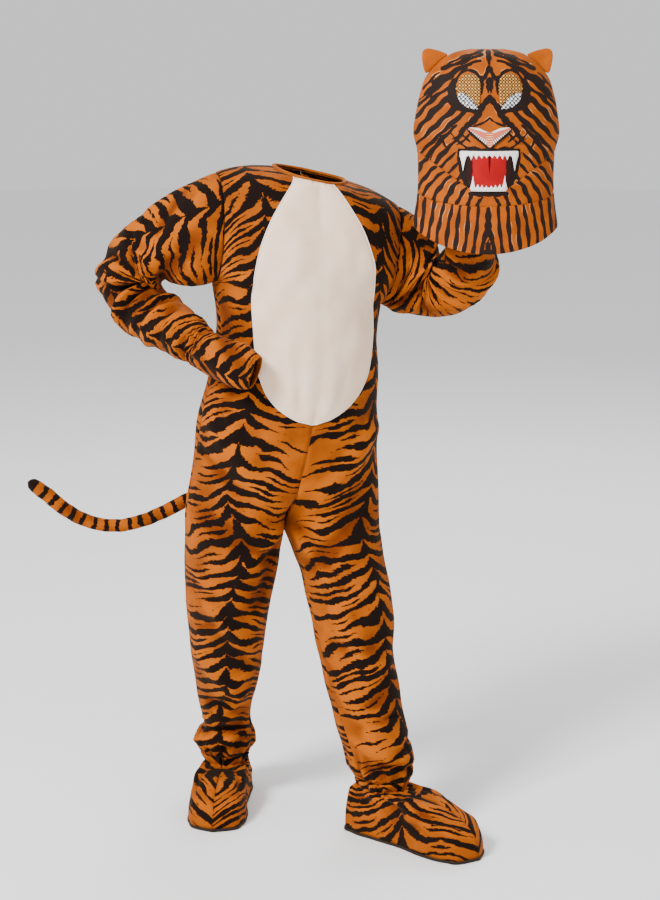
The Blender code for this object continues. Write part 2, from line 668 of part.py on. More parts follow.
loop_points = neck_loop()
neck_middle = loop_points.mean(axis=0)
inward_loop = neck_middle - loop_points
inward_loop[:, 2] = 0.0
inward_loop /= np.linalg.norm(inward_loop, axis=1, keepdims=True)
rise = inward_loop * 0.35 + np.array([0.0, 0.0, 1.0])
rise /= np.linalg.norm(rise, axis=1, keepdims=True)
binding_rows = [loop_points + rise * 2 * SEAM_GAP, loop_points + rise * BINDING_HEIGHT]
binding = np.array(binding_rows)
across = inward_loop - rise * (inward_loop * rise).sum(axis=1, keepdims=True)
across /= np.linalg.norm(across, axis=1, keepdims=True)
shift_edge(binding, "first_column")
shift_edge(binding, "last_column")
add_object("neck_binding", wall_mesh(binding, np.array([across, across]) * 0.0024), ORANGE)


PAW_COLUMNS = ("ring", "x", "y", "z", "half_up", "half_front")
PAW = {
    "right": Table(PAW_COLUMNS, [
        (0, -0.150, -0.089, -0.2450, 0.0285, 0.029),
        (1, -0.138, -0.098, -0.2500, 0.0305, 0.030),
        (2, -0.120, -0.110, -0.2570, 0.0330, 0.028),
        (3, -0.102, -0.121, -0.2630, 0.0330, 0.024),
        (4, -0.086, -0.128, -0.2680, 0.0290, 0.019),
        (5, -0.076, -0.132, -0.2710, 0.0240, 0.015),
    ]),
    "left": Table(PAW_COLUMNS, [
        (0, 0.250, -0.051, -0.0210, 0.028, 0.028),
        (1, 0.251, -0.056, -0.0080, 0.031, 0.029),
        (2, 0.252, -0.063, 0.0120, 0.035, 0.027),
        (3, 0.253, -0.071, 0.0340, 0.036, 0.025),
        (4, 0.254, -0.078, 0.0560, 0.034, 0.023),
        (5, 0.254, -0.082, 0.0720, 0.030, 0.020),
    ]),
}
PAW_RINGS = 6
PAW_SIDES = SLEEVE_SIDES


def paw_rings(side):
    """Rings of a hand cover, carried on from the sleeve's last ring and flattened towards its open end."""
    table = PAW[side]
    sleeve_end = SLEEVE_RESULTS[side][0][-1]
    _, _, _, up, facing = SLEEVE_RESULTS[side]
    last = len(table.rows) - 1
    marks = [k * last / (PAW_RINGS - 1) for k in range(PAW_RINGS)]
    centres = np.array([[table.read(axis, mark) for axis in "xyz"] for mark in marks])
    centres[0] = sleeve_end.mean(axis=0)
    tangents = np.gradient(centres, axis=0)
    rings = []
    for k, mark in enumerate(marks):
        tangent = unit(tangents[k])
        up = unit(up - tangent * float(up @ tangent))
        ahead = np.cross(tangent, up)
        if float(ahead @ facing) < 0:
            ahead = -ahead
        joined = min(k / 3.0, 1.0)
        ring = []
        for s in range(PAW_SIDES):
            angle = 2 * math.pi * s / PAW_SIDES
            out = up * math.cos(angle) * table.read("half_up", mark)
            out = out + ahead * math.sin(angle) * table.read("half_front", mark)
            carried = sleeve_end[s] - sleeve_end.mean(axis=0)
            ring.append(centres[k] + out * joined + carried * (1 - joined))
        rings.append(ring)
    return np.array(rings), centres


# The hood: a flattened tube that narrows to a sewn crown, drawn out a little at the muzzle.
HOOD_X = 0.2545
HOOD_Y = -0.050
HOOD_TOP = 0.184
HOOD = Table(("height", "half_width", "half_depth"), [
    (0.1840, 0.022, 0.0010), (0.1800, 0.042, 0.0130), (0.1730, 0.0585, 0.0260),
    (0.1600, 0.0745, 0.0390), (0.1435, 0.0875, 0.0490), (0.1220, 0.0955, 0.0570),
    (0.0910, 0.1020, 0.0610), (0.0630, 0.1050, 0.0620), (0.0400, 0.0995, 0.0600),
    (0.0070, 0.0978, 0.0590), (-0.0245, 0.0988, 0.0600), (-0.0656, 0.1050, 0.0630),
    (-0.1100, 0.1090, 0.0650),
])
MUZZLE_RISE = 0.010
MUZZLE_HEIGHT = 0.030
MUZZLE_HALF_WIDTH = 0.045
MUZZLE_HALF_HEIGHT = 0.042
HOOD_COLUMNS = 14
FACE_ROWS = 11
JAW_ROWS = 2
SKIRT_ROWS = 3


def hood_point(face, angle, height):
    """A point of the hood; the angle runs from its right side (-90) by the middle to its left side."""
    across = HOOD.read("half_width", height) * math.sin(angle)
    forward = HOOD.read("half_depth", height) * math.cos(angle)
    if face > 0:
        near = (across / MUZZLE_HALF_WIDTH) ** 2
        near += ((height - MUZZLE_HEIGHT) / MUZZLE_HALF_HEIGHT) ** 2
        forward += MUZZLE_RISE * math.exp(-near)
    return np.array([HOOD_X + across, HOOD_Y - face * forward, height])


def face_seam(angle):
    """Level under the mouth, then rising to the sides."""
    across = 0.098 * abs(math.sin(angle))
    past = across - 0.0185
    return -0.018 + 0.35 * (past + math.sqrt(past * past + 0.004 * 0.004))


def jaw_seam(angle):
    return -0.018 - 0.0185 * math.cos(angle)


def front_hem(angle):
    return -0.066 - 0.038 * math.cos(angle) ** 1.6


def back_hem(angle):
    return -0.066 - 0.016 * math.cos(angle)


def crown(angle):
    return HOOD_TOP


def hood_grid(face, edges, row_counts, crowded=1.0):
    """Bands of the hood between seams, with the first band's rows drawn towards its top where crowded."""
    parts = []
    for band, rows in enumerate(row_counts):
        power = crowded if band == 0 else 1.0
        parts += [(band, (r / rows) ** power) for r in range(0 if band == 0 else 1, rows + 1)]
    grid = []
    for band, part in parts:
        row = []
        for c in range(HOOD_COLUMNS + 1):
            angle = math.radians(-90.0 + 180.0 * c / HOOD_COLUMNS)
            top, bottom = edges[band](angle), edges[band + 1](angle)
            row.append(hood_point(face, angle, top + (bottom - top) * part))
        grid.append(row)
    return np.array(grid)


def hood_normals(face, grid):
    """Normals from the hood's own form, so that pieces that share a seam agree there."""
    step = 0.0008
    normals = np.zeros_like(grid)
    for r in range(grid.shape[0]):
        for c in range(grid.shape[1]):
            angle = math.radians(-90.0 + 180.0 * c / HOOD_COLUMNS)
            height = min(grid[r, c, 2], HOOD_TOP - 2 * step)
            here = hood_point(face, angle, height)
            turn = hood_point(face, angle + 0.01, height) - hood_point(face, angle - 0.01, height)
            rise_step = hood_point(face, angle, height + step) - hood_point(face, angle, height - step)
            normal = unit(np.cross(turn, rise_step))
            outward = here - np.array([HOOD_X, HOOD_Y, 0.060])
            if float(normal @ outward) < 0:
                normal = -normal
            if abs(math.cos(angle)) < 1e-6:
                normal[1] = 0.0
                normal = unit(normal)
            normals[r, c] = normal
    if grid[0, 0, 2] > HOOD_TOP - 1e-6:
        normals[0] = np.array([0.0, 0.0, 1.0])
    return normals


CROWDED = 1.25
FACE_GRID = hood_grid(1, (crown, face_seam), (FACE_ROWS,), CROWDED)
FACE_NORMALS = hood_normals(1, FACE_GRID)
back_edges = (crown, face_seam, jaw_seam, back_hem)
ALL_EDGES = ("first_row", "last_row", "first_column", "last_column")
hood_pieces = [
    ("hood_face", 1, FACE_GRID, ALL_EDGES),
    ("hood_jaw", 1, hood_grid(1, (face_seam, jaw_seam), (JAW_ROWS,)), ALL_EDGES),
    ("hood_skirt", 1, hood_grid(1, (jaw_seam, front_hem), (SKIRT_ROWS,)),
     ("first_row", "first_column", "last_column")),
    ("hood_back", -1, hood_grid(-1, back_edges, (FACE_ROWS, JAW_ROWS, SKIRT_ROWS), CROWDED),
     ("first_row", "first_column", "last_column")),
]
for name, face, grid, edges in hood_pieces:
    normals = hood_normals(face, grid)
    if grid[0, 0, 2] > HOOD_TOP - 1e-6:
        grid[0, :, 1] = HOOD_Y - face * SEAM_GAP / 2
        edges = edges[1:]
    grid = grid.copy()
    for edge in edges:
        shift_edge(grid, edge)
    add_object(name, wall_mesh(grid, -normals * WALL), ORANGE)

# Pieces laid on the face, each an outline in millimetre-true places across and up from the face's middle.
EYE_OUTLINE = [
    (0.0435, 0.121), (0.036, 0.120), (0.027, 0.113), (0.019, 0.103), (0.018, 0.1005),
    (0.024, 0.101), (0.034, 0.104), (0.041, 0.110),
]
EYELID_OUTLINE = [
    (0.0475, 0.128), (0.045, 0.136), (0.036, 0.148), (0.026, 0.149), (0.014, 0.143),
    (0.0125, 0.126), (0.0145, 0.104), (0.0175, 0.1040), (0.0262, 0.1142), (0.0358, 0.1215),
    (0.0440, 0.1226),
]
NOSE_OUTLINE = [
    (0.0, 0.0685), (0.012, 0.0715), (0.025, 0.0735), (0.0315, 0.0725), (0.028, 0.0645),
    (0.019, 0.0570), (0.010, 0.0480), (0.004, 0.0440), (0.0, 0.0430),
]
MOUTH_OUTLINE = [
    (0.0, 0.0345), (0.0270, 0.0340), (0.0290, 0.0180), (0.0285, 0.0080), (0.0240, 0.0055),
    (0.0205, -0.0020), (0.0175, -0.0068), (0.0, -0.0068),
]
UPPER_TEETH_OUTLINE = [
    (0.0, 0.0418), (0.0400, 0.0418), (0.0415, 0.0370), (0.0380, 0.0230), (0.0320, 0.0125),
    (0.0315, 0.0240), (0.0290, 0.0345), (0.0230, 0.0350), (0.0150, 0.0352), (0.0, 0.0352),
]
LOWER_TEETH_OUTLINE = [
    (0.0, -0.0075), (0.0180, -0.0075), (0.0215, -0.0030), (0.0245, 0.0045), (0.0272, -0.0030),
    (0.0278, -0.0080), (0.0245, -0.0140), (0.0, -0.0145),
]


def mirrored(outline):
    """A closed outline from its left half, with the middle points kept once."""
    left = [(x, z) for x, z in outline]
    right = [(-x, z) for x, z in reversed(outline) if x > 1e-6]
    return left + right


def laid_on_face(name, outline, colour):
    corners = [(HOOD_X + x, HOOD_Y - 0.060, z) for x, z in outline]
    band = slice(2, None)
    outline_patch(name, FACE_GRID[band], FACE_NORMALS[band], corners, (0.0, 1.0, 0.0), colour)


for sign, side_name in ((-1, "right"), (1, "left")):
    laid_on_face("hood_eye_" + side_name, [(sign * x, z) for x, z in EYE_OUTLINE], GREY)
    laid_on_face("hood_eyelid_" + side_name, [(sign * x, z) for x, z in EYELID_OUTLINE], TAN)
laid_on_face("hood_nose", mirrored(NOSE_OUTLINE), PINK)
laid_on_face("hood_mouth", mirrored(MOUTH_OUTLINE), RED)
laid_on_face("hood_teeth_upper", mirrored(UPPER_TEETH_OUTLINE), WHITE)
laid_on_face("hood_teeth_lower", mirrored(LOWER_TEETH_OUTLINE), WHITE)

EAR_THICKNESS = 0.006
EAR_OUTLINE = [
    (0.0565, 0.1758), (0.0700, 0.1810), (0.0840, 0.1842), (0.0905, 0.1830), (0.0935, 0.1775),
    (0.0935, 0.1680), (0.0910, 0.1560), (0.0885, 0.1480),
]


def ear(side):
    """A soft flat ear with a rounded tip; its foot follows the hood's edge, a seam gap away."""
    sign = 1 if side == "left" else -1
    foot = []
    for h in (0.1520, 0.1600, 0.1680, 0.1735):
        foot.append((HOOD.read("half_width", h) + 0.0012, h + 0.0006))
    outline = EAR_OUTLINE + foot
    centre = (0.083, 0.167)
    mesh_data = bmesh.new()
    rims = []
    for scale, depth in ((0.90, EAR_THICKNESS / 2), (1.0, 0.0), (0.90, -EAR_THICKNESS / 2)):
        ring = []
        for x, z in outline:
            shrink_x = centre[0] + (x - centre[0]) * scale
            shrink_z = centre[1] + (z - centre[1]) * scale
            ring.append(mesh_data.verts.new((HOOD_X + sign * shrink_x, HOOD_Y + depth, shrink_z)))
        rims.append(ring)
    count = len(outline)
    for upper, lower in zip(rims, rims[1:]):
        for k in range(count):
            n = (k + 1) % count
            mesh_data.faces.new((upper[k], upper[n], lower[n], lower[k]))
    for ring, depth in ((rims[0], EAR_THICKNESS * 0.62), (rims[-1], -EAR_THICKNESS * 0.30)):
        middle = mesh_data.verts.new((HOOD_X + sign * centre[0], HOOD_Y + depth, centre[1]))
        for k in range(count):
            n = (k + 1) % count
            mesh_data.faces.new((ring[k], ring[n], middle))
    bmesh.ops.recalc_face_normals(mesh_data, faces=mesh_data.faces)
    bmesh.ops.triangulate(mesh_data, faces=mesh_data.faces)
    add_object("hood_ear_" + side, mesh_data, ORANGE)


for side_name in ("right", "left"):
    ear(side_name)


def seat_in_hood(rings):
    """Bring the raised hand cover's far end forward until it all but touches the face's inner side."""
    face = bpy.data.objects["hood_face"]
    tree = BVHTree.FromPolygons([v.co for v in face.data.vertices], [p.vertices for p in face.data.polygons])
    weights = np.linspace(0.0, 1.0, rings.shape[0]) ** 1.5
    for _ in range(6):
        spare = 1.0
        for r in range(3, rings.shape[0]):
            for point in rings[r]:
                hit, _, _, distance = tree.ray_cast(Vector(point), Vector((0.0, -1.0, 0.0)))
                if hit is not None:
                    spare = min(spare, (distance - 0.0005) / weights[r])
        rings[:, :, 1] -= spare * weights[:, None] * 0.9
    return rings


for side_name in ("right", "left"):
    rings, centres = paw_rings(side_name)
    if side_name == "left":
        rings = seat_in_hood(rings)
        centres = rings.mean(axis=1)
    normals = grid_normals(rings, centres, wraps=True)
    end_normals = SLEEVE_RESULTS[side_name][1][-1]
    normals[0] = end_normals
    rings = rings.copy()
    shift_edge(rings, "first_row", SEAM_GAP)
    add_object("paw_" + side_name, wall_mesh(rings, -normals * WALL, wraps=True), ORANGE)

TAIL_ROUTE = Table(("mark", "x", "y", "z", "radius"), [
    (0, -0.0640, 0.1165, -0.4500, 0.0115),
    (1, -0.0780, 0.1340, -0.4580, 0.0112),
    (2, -0.1150, 0.1380, -0.4780, 0.0110),
    (3, -0.1560, 0.1180, -0.4950, 0.0108),
    (4, -0.1950, 0.0960, -0.5080, 0.0106),
    (5, -0.2340, 0.0900, -0.5270, 0.0103),
    (6, -0.2700, 0.0880, -0.5400, 0.0100),
    (7, -0.3050, 0.0860, -0.5450, 0.0100),
    (8, -0.3430, 0.0840, -0.5380, 0.0102),
    (9, -0.3770, 0.0820, -0.5200, 0.0108),
    (10, -0.4050, 0.0800, -0.4960, 0.0112),
    (11, -0.4260, 0.0800, -0.4800, 0.0100),
    (12, -0.4360, 0.0800, -0.4745, 0.0050),
])
TAIL_RINGS = 27
TAIL_SIDES = 9


def tail():
    """The stuffed tail, a bent round bar whose foot lies flat against the seat."""
    last = len(TAIL_ROUTE.rows) - 1
    marks = [k * last / (TAIL_RINGS - 1) for k in range(TAIL_RINGS)]
    centres = np.array([[TAIL_ROUTE.read(axis, mark) for axis in "xyz"] for mark in marks])
    tangents = np.gradient(centres, axis=0)
    middle, _, facing = torso_axes(centres[0][2])
    tangents[0] = -facing
    up = np.array([0.0, 0.0, 1.0])
    mesh_data = bmesh.new()
    rings = []
    for k, mark in enumerate(marks):
        tangent = unit(tangents[k])
        up = unit(up - tangent * float(up @ tangent))
        beside = np.cross(tangent, up)
        ring = []
        for s in range(TAIL_SIDES):
            angle = 2 * math.pi * s / TAIL_SIDES
            out = up * math.cos(angle) + beside * math.sin(angle)
            ring.append(mesh_data.verts.new(centres[k] + out * TAIL_ROUTE.read("radius", mark)))
        rings.append(ring)
    for first, second in zip(rings, rings[1:]):
        for s in range(TAIL_SIDES):
            n = (s + 1) % TAIL_SIDES
            mesh_data.faces.new((first[s], first[n], second[n]))
            mesh_data.faces.new((first[s], second[n], second[s]))
    mesh_data.faces.new(rings[0][::-1])
    mesh_data.faces.new(rings[-1])
    bmesh.ops.recalc_face_normals(mesh_data, faces=mesh_data.faces)
    add_object("tail", mesh_data, ORANGE)


tail()

# Boot covers: a ruffled top under the trouser hem, a domed upper in two halves, and a flat sole.
BOOT = {
    # heel and toe on the floor, and the height of the ruffled top
    "right": {"heel": (-0.1240, 0.190), "toe": (-0.1500, -0.050), "top": -0.9205},
    "left": {"heel": (0.0600, -0.010), "toe": (0.2500, -0.165), "top": -0.9055},
}
SOLE_THICKNESS = 0.0040
SOLE_MARGIN = 0.0015
BOOT_HALF_COLUMNS = 8
BOOT_ROWS = 7
RUFFLE_DEPTH = 0.014
FOOT_OUTLINE = Table(("along", "inner", "outer"), [
    (0.000, 0.000, 0.000), (0.030, 0.0185, 0.0185), (0.120, 0.0300, 0.0300),
    (0.300, 0.0335, 0.0350), (0.500, 0.0350, 0.0420), (0.700, 0.0430, 0.0470),
    (0.860, 0.0405, 0.0410), (0.960, 0.0260, 0.0240), (1.000, 0.000, 0.000),
])


def foot_edge(side, which, part, margin=0.0):
    """The sole's edge from the toe (part 0) round one side to the heel (part 1)."""
    boot = BOOT[side]
    heel, toe = np.array(boot["heel"]), np.array(boot["toe"])
    forward = unit(toe - heel)
    length = float(np.linalg.norm(toe - heel))
    sign = 1 if side == "left" else -1
    outward = np.array([-forward[1], forward[0]]) * sign
    if which == "inner":
        outward = -outward
    along = (1 + math.cos(math.pi * part)) / 2
    width = FOOT_OUTLINE.read(which, along)
    point = heel + forward * (along * (length + 2 * margin) - margin) + outward * width
    if 0 < part < 1:
        point = point + outward * margin
    return point


def boot_top(side, which, part, grow=0.0):
    """The top ring, the trouser hem's own ring, from its front round one side to its back."""
    table = LEG[side]
    hem = table.rows[0, 0]
    forward = unit(np.array(BOOT[side]["toe"]) - np.array(BOOT[side]["heel"]))
    sign = 1 if side == "left" else -1
    outward = np.array([-forward[1], forward[0]]) * sign
    if which == "inner":
        outward = -outward
    middle = np.array([table.read("x", hem), table.read("y", hem)])
    angle = math.pi * part
    reach_out = table.read("half_width", hem) + grow
    reach_on = table.read("half_depth", hem) + grow
    return middle + outward * reach_out * math.sin(angle) + forward * reach_on * math.cos(angle)


def boot_grid(side, which):
    """One half of a boot's upper, from the instep seam round to the heel seam."""
    top = BOOT[side]["top"]
    base = FLOOR + SOLE_THICKNESS + SEAM_GAP
    gather = top - RUFFLE_DEPTH
    grid = []
    for grow, height, wave in ((0.0015, top, 0.0012), (0.0, top - 0.006, 0.0008), (-0.0045, gather, 0.0)):
        row = []
        for c in range(BOOT_HALF_COLUMNS + 1):
            part = c / BOOT_HALF_COLUMNS
            ripple = wave * math.sin(part * math.pi * 4)
            row.append((*boot_top(side, which, part, grow + ripple), height))
        grid.append(row)
    for r in range(1, BOOT_ROWS + 1):
        turn = r / BOOT_ROWS * math.pi / 2
        row = []
        for c in range(BOOT_HALF_COLUMNS + 1):
            part = c / BOOT_HALF_COLUMNS
            start = boot_top(side, which, part, -0.0045)
            end = foot_edge(side, which, part)
            spread = math.sin(turn) ** 0.85
            drop = 1 - math.cos(turn) ** 0.75
            x, y = start + (end - start) * spread
            row.append((x, y, gather + (base - gather) * drop))
        grid.append(row)
    return np.array(grid)


for side_name in ("right", "left"):
    halves = {}
    for which in ("inner", "outer"):
        grid = boot_grid(side_name, which)
        middles = grid[:, [0, -1]].mean(axis=1) - np.array([0.0, 0.0, 0.02])
        halves[which] = (grid, grid_normals(grid, middles))
    inner, outer = halves["inner"][1], halves["outer"][1]
    for column in (0, -1):
        both = shared_normals(inner[:, column], outer[:, column])
        inner[:, column] = outer[:, column] = both
    for which in ("inner", "outer"):
        grid, normals = halves[which]
        grid = grid.copy()
        inward = -normals * WALL
        for row in (0, -1):
            inward[row, :, 2] = 0.0
            inward[row] *= WALL / np.linalg.norm(inward[row], axis=1, keepdims=True)
        for edge in ("first_column", "last_column"):
            shift_edge(grid, edge)
        add_object("boot_" + side_name + "_upper_" + which, wall_mesh(grid, inward), ORANGE)
    sole = bmesh.new()
    edge = [foot_edge(side_name, "outer", c / 16, SOLE_MARGIN) for c in range(17)]
    edge += [foot_edge(side_name, "inner", c / 16, SOLE_MARGIN) for c in range(15, 0, -1)]
    bottom = [sole.verts.new((x, y, FLOOR)) for x, y in edge]
    plate = sole.faces.new(bottom)
    raised = bmesh.ops.extrude_face_region(sole, geom=[plate])
    lifted = [v for v in raised["geom"] if isinstance(v, bmesh.types.BMVert)]
    bmesh.ops.translate(sole, verts=lifted, vec=(0.0, 0.0, SOLE_THICKNESS))
    bmesh.ops.recalc_face_normals(sole, faces=sole.faces)
    add_object("boot_" + side_name + "_sole", sole, BLACK)
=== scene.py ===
"""Child's tiger costume in its worn pose, with its hood mask held up on the left hand.

Plush jumpsuit with a pale belly and a tail, hand covers, boot covers and a printed hood.
Left and right are the wearer's own; metres; +Z up; -Y to the wearer's front.
"""

import math

import bmesh
import bpy
import numpy as np
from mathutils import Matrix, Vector
from mathutils.bvhtree import BVHTree


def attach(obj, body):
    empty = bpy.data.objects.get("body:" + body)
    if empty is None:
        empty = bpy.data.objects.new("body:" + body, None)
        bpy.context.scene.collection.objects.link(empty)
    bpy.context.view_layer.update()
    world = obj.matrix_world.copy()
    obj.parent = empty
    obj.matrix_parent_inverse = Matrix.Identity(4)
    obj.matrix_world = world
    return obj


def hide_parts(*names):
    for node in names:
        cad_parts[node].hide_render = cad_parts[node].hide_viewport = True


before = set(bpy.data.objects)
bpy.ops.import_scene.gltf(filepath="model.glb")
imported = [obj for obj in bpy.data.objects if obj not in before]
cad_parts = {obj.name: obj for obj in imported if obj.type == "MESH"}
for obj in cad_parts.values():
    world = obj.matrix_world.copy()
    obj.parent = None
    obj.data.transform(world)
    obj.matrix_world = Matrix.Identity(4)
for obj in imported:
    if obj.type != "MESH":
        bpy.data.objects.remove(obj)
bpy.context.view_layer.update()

# Camera: the standing costume seen from a little above its waist, looking slightly down.
CAMERA_PLACE = (0.030, -3.2, 0.206)
CAMERA_DROP = math.radians(10.88)
camera_data = bpy.data.cameras.new("camera")
camera_data.lens = 86.9
camera_data.sensor_width = 36.0
camera = bpy.data.objects.new("camera", camera_data)
camera.location = CAMERA_PLACE
camera.rotation_euler = (math.pi / 2 - CAMERA_DROP, 0.0, 0.0)
bpy.context.scene.collection.objects.link(camera)
bpy.context.scene.camera = camera

# Studio: a plain pale floor, a white surround and soft lights.
STAGE_HEIGHT = -0.9945
STAGE_RADIUS = 14.0
SURROUND_STRENGTH = 0.88
LIT_POINT = Vector((0.0, 0.0, -0.45))
world = bpy.data.worlds.new("studio")
world.use_nodes = True
surround = world.node_tree.nodes["Background"]
surround.inputs["Color"].default_value = (1.0, 1.0, 1.0, 1.0)
surround.inputs["Strength"].default_value = SURROUND_STRENGTH
bpy.context.scene.world = world
floor_shape = bmesh.new()
bmesh.ops.create_circle(floor_shape, cap_ends=True, segments=64, radius=STAGE_RADIUS)
bmesh.ops.translate(floor_shape, verts=floor_shape.verts, vec=(0.0, 0.0, STAGE_HEIGHT))
floor_mesh = bpy.data.meshes.new("floor")
floor_shape.to_mesh(floor_mesh)
floor_shape.free()
floor = bpy.data.objects.new("floor", floor_mesh)
bpy.context.scene.collection.objects.link(floor)
floor_material = bpy.data.materials.new("floor_white")
floor_material.use_nodes = True
floor_shader = floor_material.node_tree.nodes["Principled BSDF"]
floor_shader.inputs["Base Color"].default_value = (0.93, 0.93, 0.93, 1.0)
floor_shader.inputs["Roughness"].default_value = 0.9
floor_mesh.materials.append(floor_material)

STUDIO_LIGHTS = [
    # name, place, size, watts
    ("key_light", (-1.9, -2.3, 1.9), 0.9, 230.0),
    ("fill_light", (2.2, -2.4, 0.6), 2.0, 14.0),
    ("back_light", (0.6, 2.6, 1.9), 2.0, 60.0),
]
for light_name, place, size, watts in STUDIO_LIGHTS:
    light_data = bpy.data.lights.new(light_name, "AREA")
    light_data.energy = watts
    light_data.size = size
    light = bpy.data.objects.new(light_name, light_data)
    light.location = place
    light.rotation_mode = "QUATERNION"
    light.rotation_quaternion = (LIT_POINT - Vector(place)).to_track_quat("-Z", "Y")
    bpy.context.scene.collection.objects.link(light)


# Front panels: printed orange plush, each in one with the front of its leg, joined at the
# centre front seam and to the backs at shoulders, sides and inseams.
WALL = 0.0020
CROTCH_HEIGHT = -0.530
ARMPIT_HEIGHT = -0.171
NECK_HALF_WIDTH = 0.054
NECK_FRONT_DEPTH = 0.060
NECK_BACK_DEPTH = 0.050
NECK_SIDE_HEIGHT = 0.004
NECK_FRONT_HEIGHT = -0.006
NECK_BACK_HEIGHT = 0.006
NECK_PART = 4.0 / 9.0
SHOULDER_HALF_WIDTH = 0.137
SHOULDER_TIP_HEIGHT = -0.018
SHOULDER_ARCH = 0.004
ARMHOLE_DEPTH = 0.048
BLEND_TOP = -0.450
PANEL_COLUMNS = 33
SHOULDER_ROWS = 36
ROW_HEIGHT = 0.0065
PANEL_FOLD_GAIN = 1.9
SEAM_DIP = 0.0012
SEAM_HALF_WIDTH = 0.0035
HEM_STITCH_DIP = 0.0010
HEM_STITCH_RISE = 0.012
PLEAT_DEPTH = 0.0024
PLEAT_REACH = 0.045


class Table:
    """Rows of sizes with named columns, read on a smooth curve through the rows."""

    def __init__(self, columns, rows):
        self.columns = columns
        self.rows = np.array(rows, dtype=float)
        if self.rows[0, 0] > self.rows[-1, 0]:
            self.rows = self.rows[::-1]

    def read(self, column, at):
        x = self.rows[:, 0]
        y = self.rows[:, self.columns.index(column)]
        slope = np.gradient(y, x)
        at = np.clip(np.asarray(at, dtype=float), x[0], x[-1])
        k = np.clip(np.searchsorted(x, at) - 1, 0, len(x) - 2)
        step = x[k + 1] - x[k]
        t = (at - x[k]) / step
        start = (1 + 2 * t) * (1 - t) ** 2 * y[k] + t * (1 - t) ** 2 * step * slope[k]
        end = t * t * (3 - 2 * t) * y[k + 1] + t * t * (t - 1) * step * slope[k + 1]
        return start + end


TORSO = Table(("height", "x", "y", "half_width", "half_depth", "turn", "lean"), [
    (0.010, 0.0000, 0.000, 0.137, 0.070, 14.0, 0.200),
    (-0.060, -0.0060, 0.000, 0.133, 0.084, 17.0, 0.190),
    (-0.120, -0.0140, 0.000, 0.130, 0.092, 20.0, 0.175),
    (-0.171, -0.0190, 0.001, 0.129, 0.095, 22.0, 0.163),
    (-0.234, -0.0180, 0.003, 0.1225, 0.095, 23.0, 0.100),
    (-0.306, -0.0260, 0.006, 0.132, 0.099, 23.0, 0.050),
    (-0.355, -0.0320, 0.008, 0.138, 0.101, 22.0, 0.020),
    (-0.406, -0.0360, 0.010, 0.141, 0.103, 18.0, 0.000),
    (-0.455, -0.0394, 0.010, 0.143, 0.104, 13.0, 0.000),
    (-0.530, -0.0410, 0.010, 0.148, 0.100, 11.0, 0.000),
])
LEG_COLUMNS = ("height", "x", "y", "half_width", "half_depth", "turn")
LEG = {
    "right": Table(LEG_COLUMNS, [
        (-0.530, -0.1142, -0.004, 0.0745, 0.086, 11.0),
        (-0.585, -0.1197, 0.006, 0.0713, 0.080, 10.0),
        (-0.673, -0.1273, 0.030, 0.0619, 0.070, 6.0),
        (-0.720, -0.1296, 0.046, 0.0573, 0.063, 3.0),
        (-0.790, -0.1314, 0.072, 0.0494, 0.054, -2.0),
        (-0.838, -0.1345, 0.092, 0.0400, 0.044, -5.0),
        (-0.866, -0.1330, 0.104, 0.0370, 0.041, -7.0),
        (-0.886, -0.1360, 0.110, 0.0470, 0.050, -9.0),
        (-0.902, -0.1362, 0.115, 0.0472, 0.050, -10.0),
        (-0.920, -0.1371, 0.120, 0.0360, 0.039, -11.0),
    ]),
    "left": Table(LEG_COLUMNS, [
        (-0.530, 0.0312, 0.024, 0.0735, 0.086, 11.0),
        (-0.582, 0.0467, 0.012, 0.0668, 0.080, 14.0),
        (-0.662, 0.0634, -0.005, 0.0623, 0.070, 20.0),
        (-0.716, 0.0680, -0.015, 0.0562, 0.064, 26.0),
        (-0.743, 0.0738, -0.020, 0.0560, 0.062, 29.0),
        (-0.781, 0.0822, -0.030, 0.0545, 0.060, 33.0),
        (-0.829, 0.0934, -0.038, 0.0520, 0.056, 38.0),
        (-0.872, 0.1050, -0.043, 0.0500, 0.053, 43.0),
        (-0.889, 0.1075, -0.046, 0.0475, 0.050, 45.0),
        (-0.905, 0.1099, -0.048, 0.0390, 0.041, 46.0),
    ]),
}
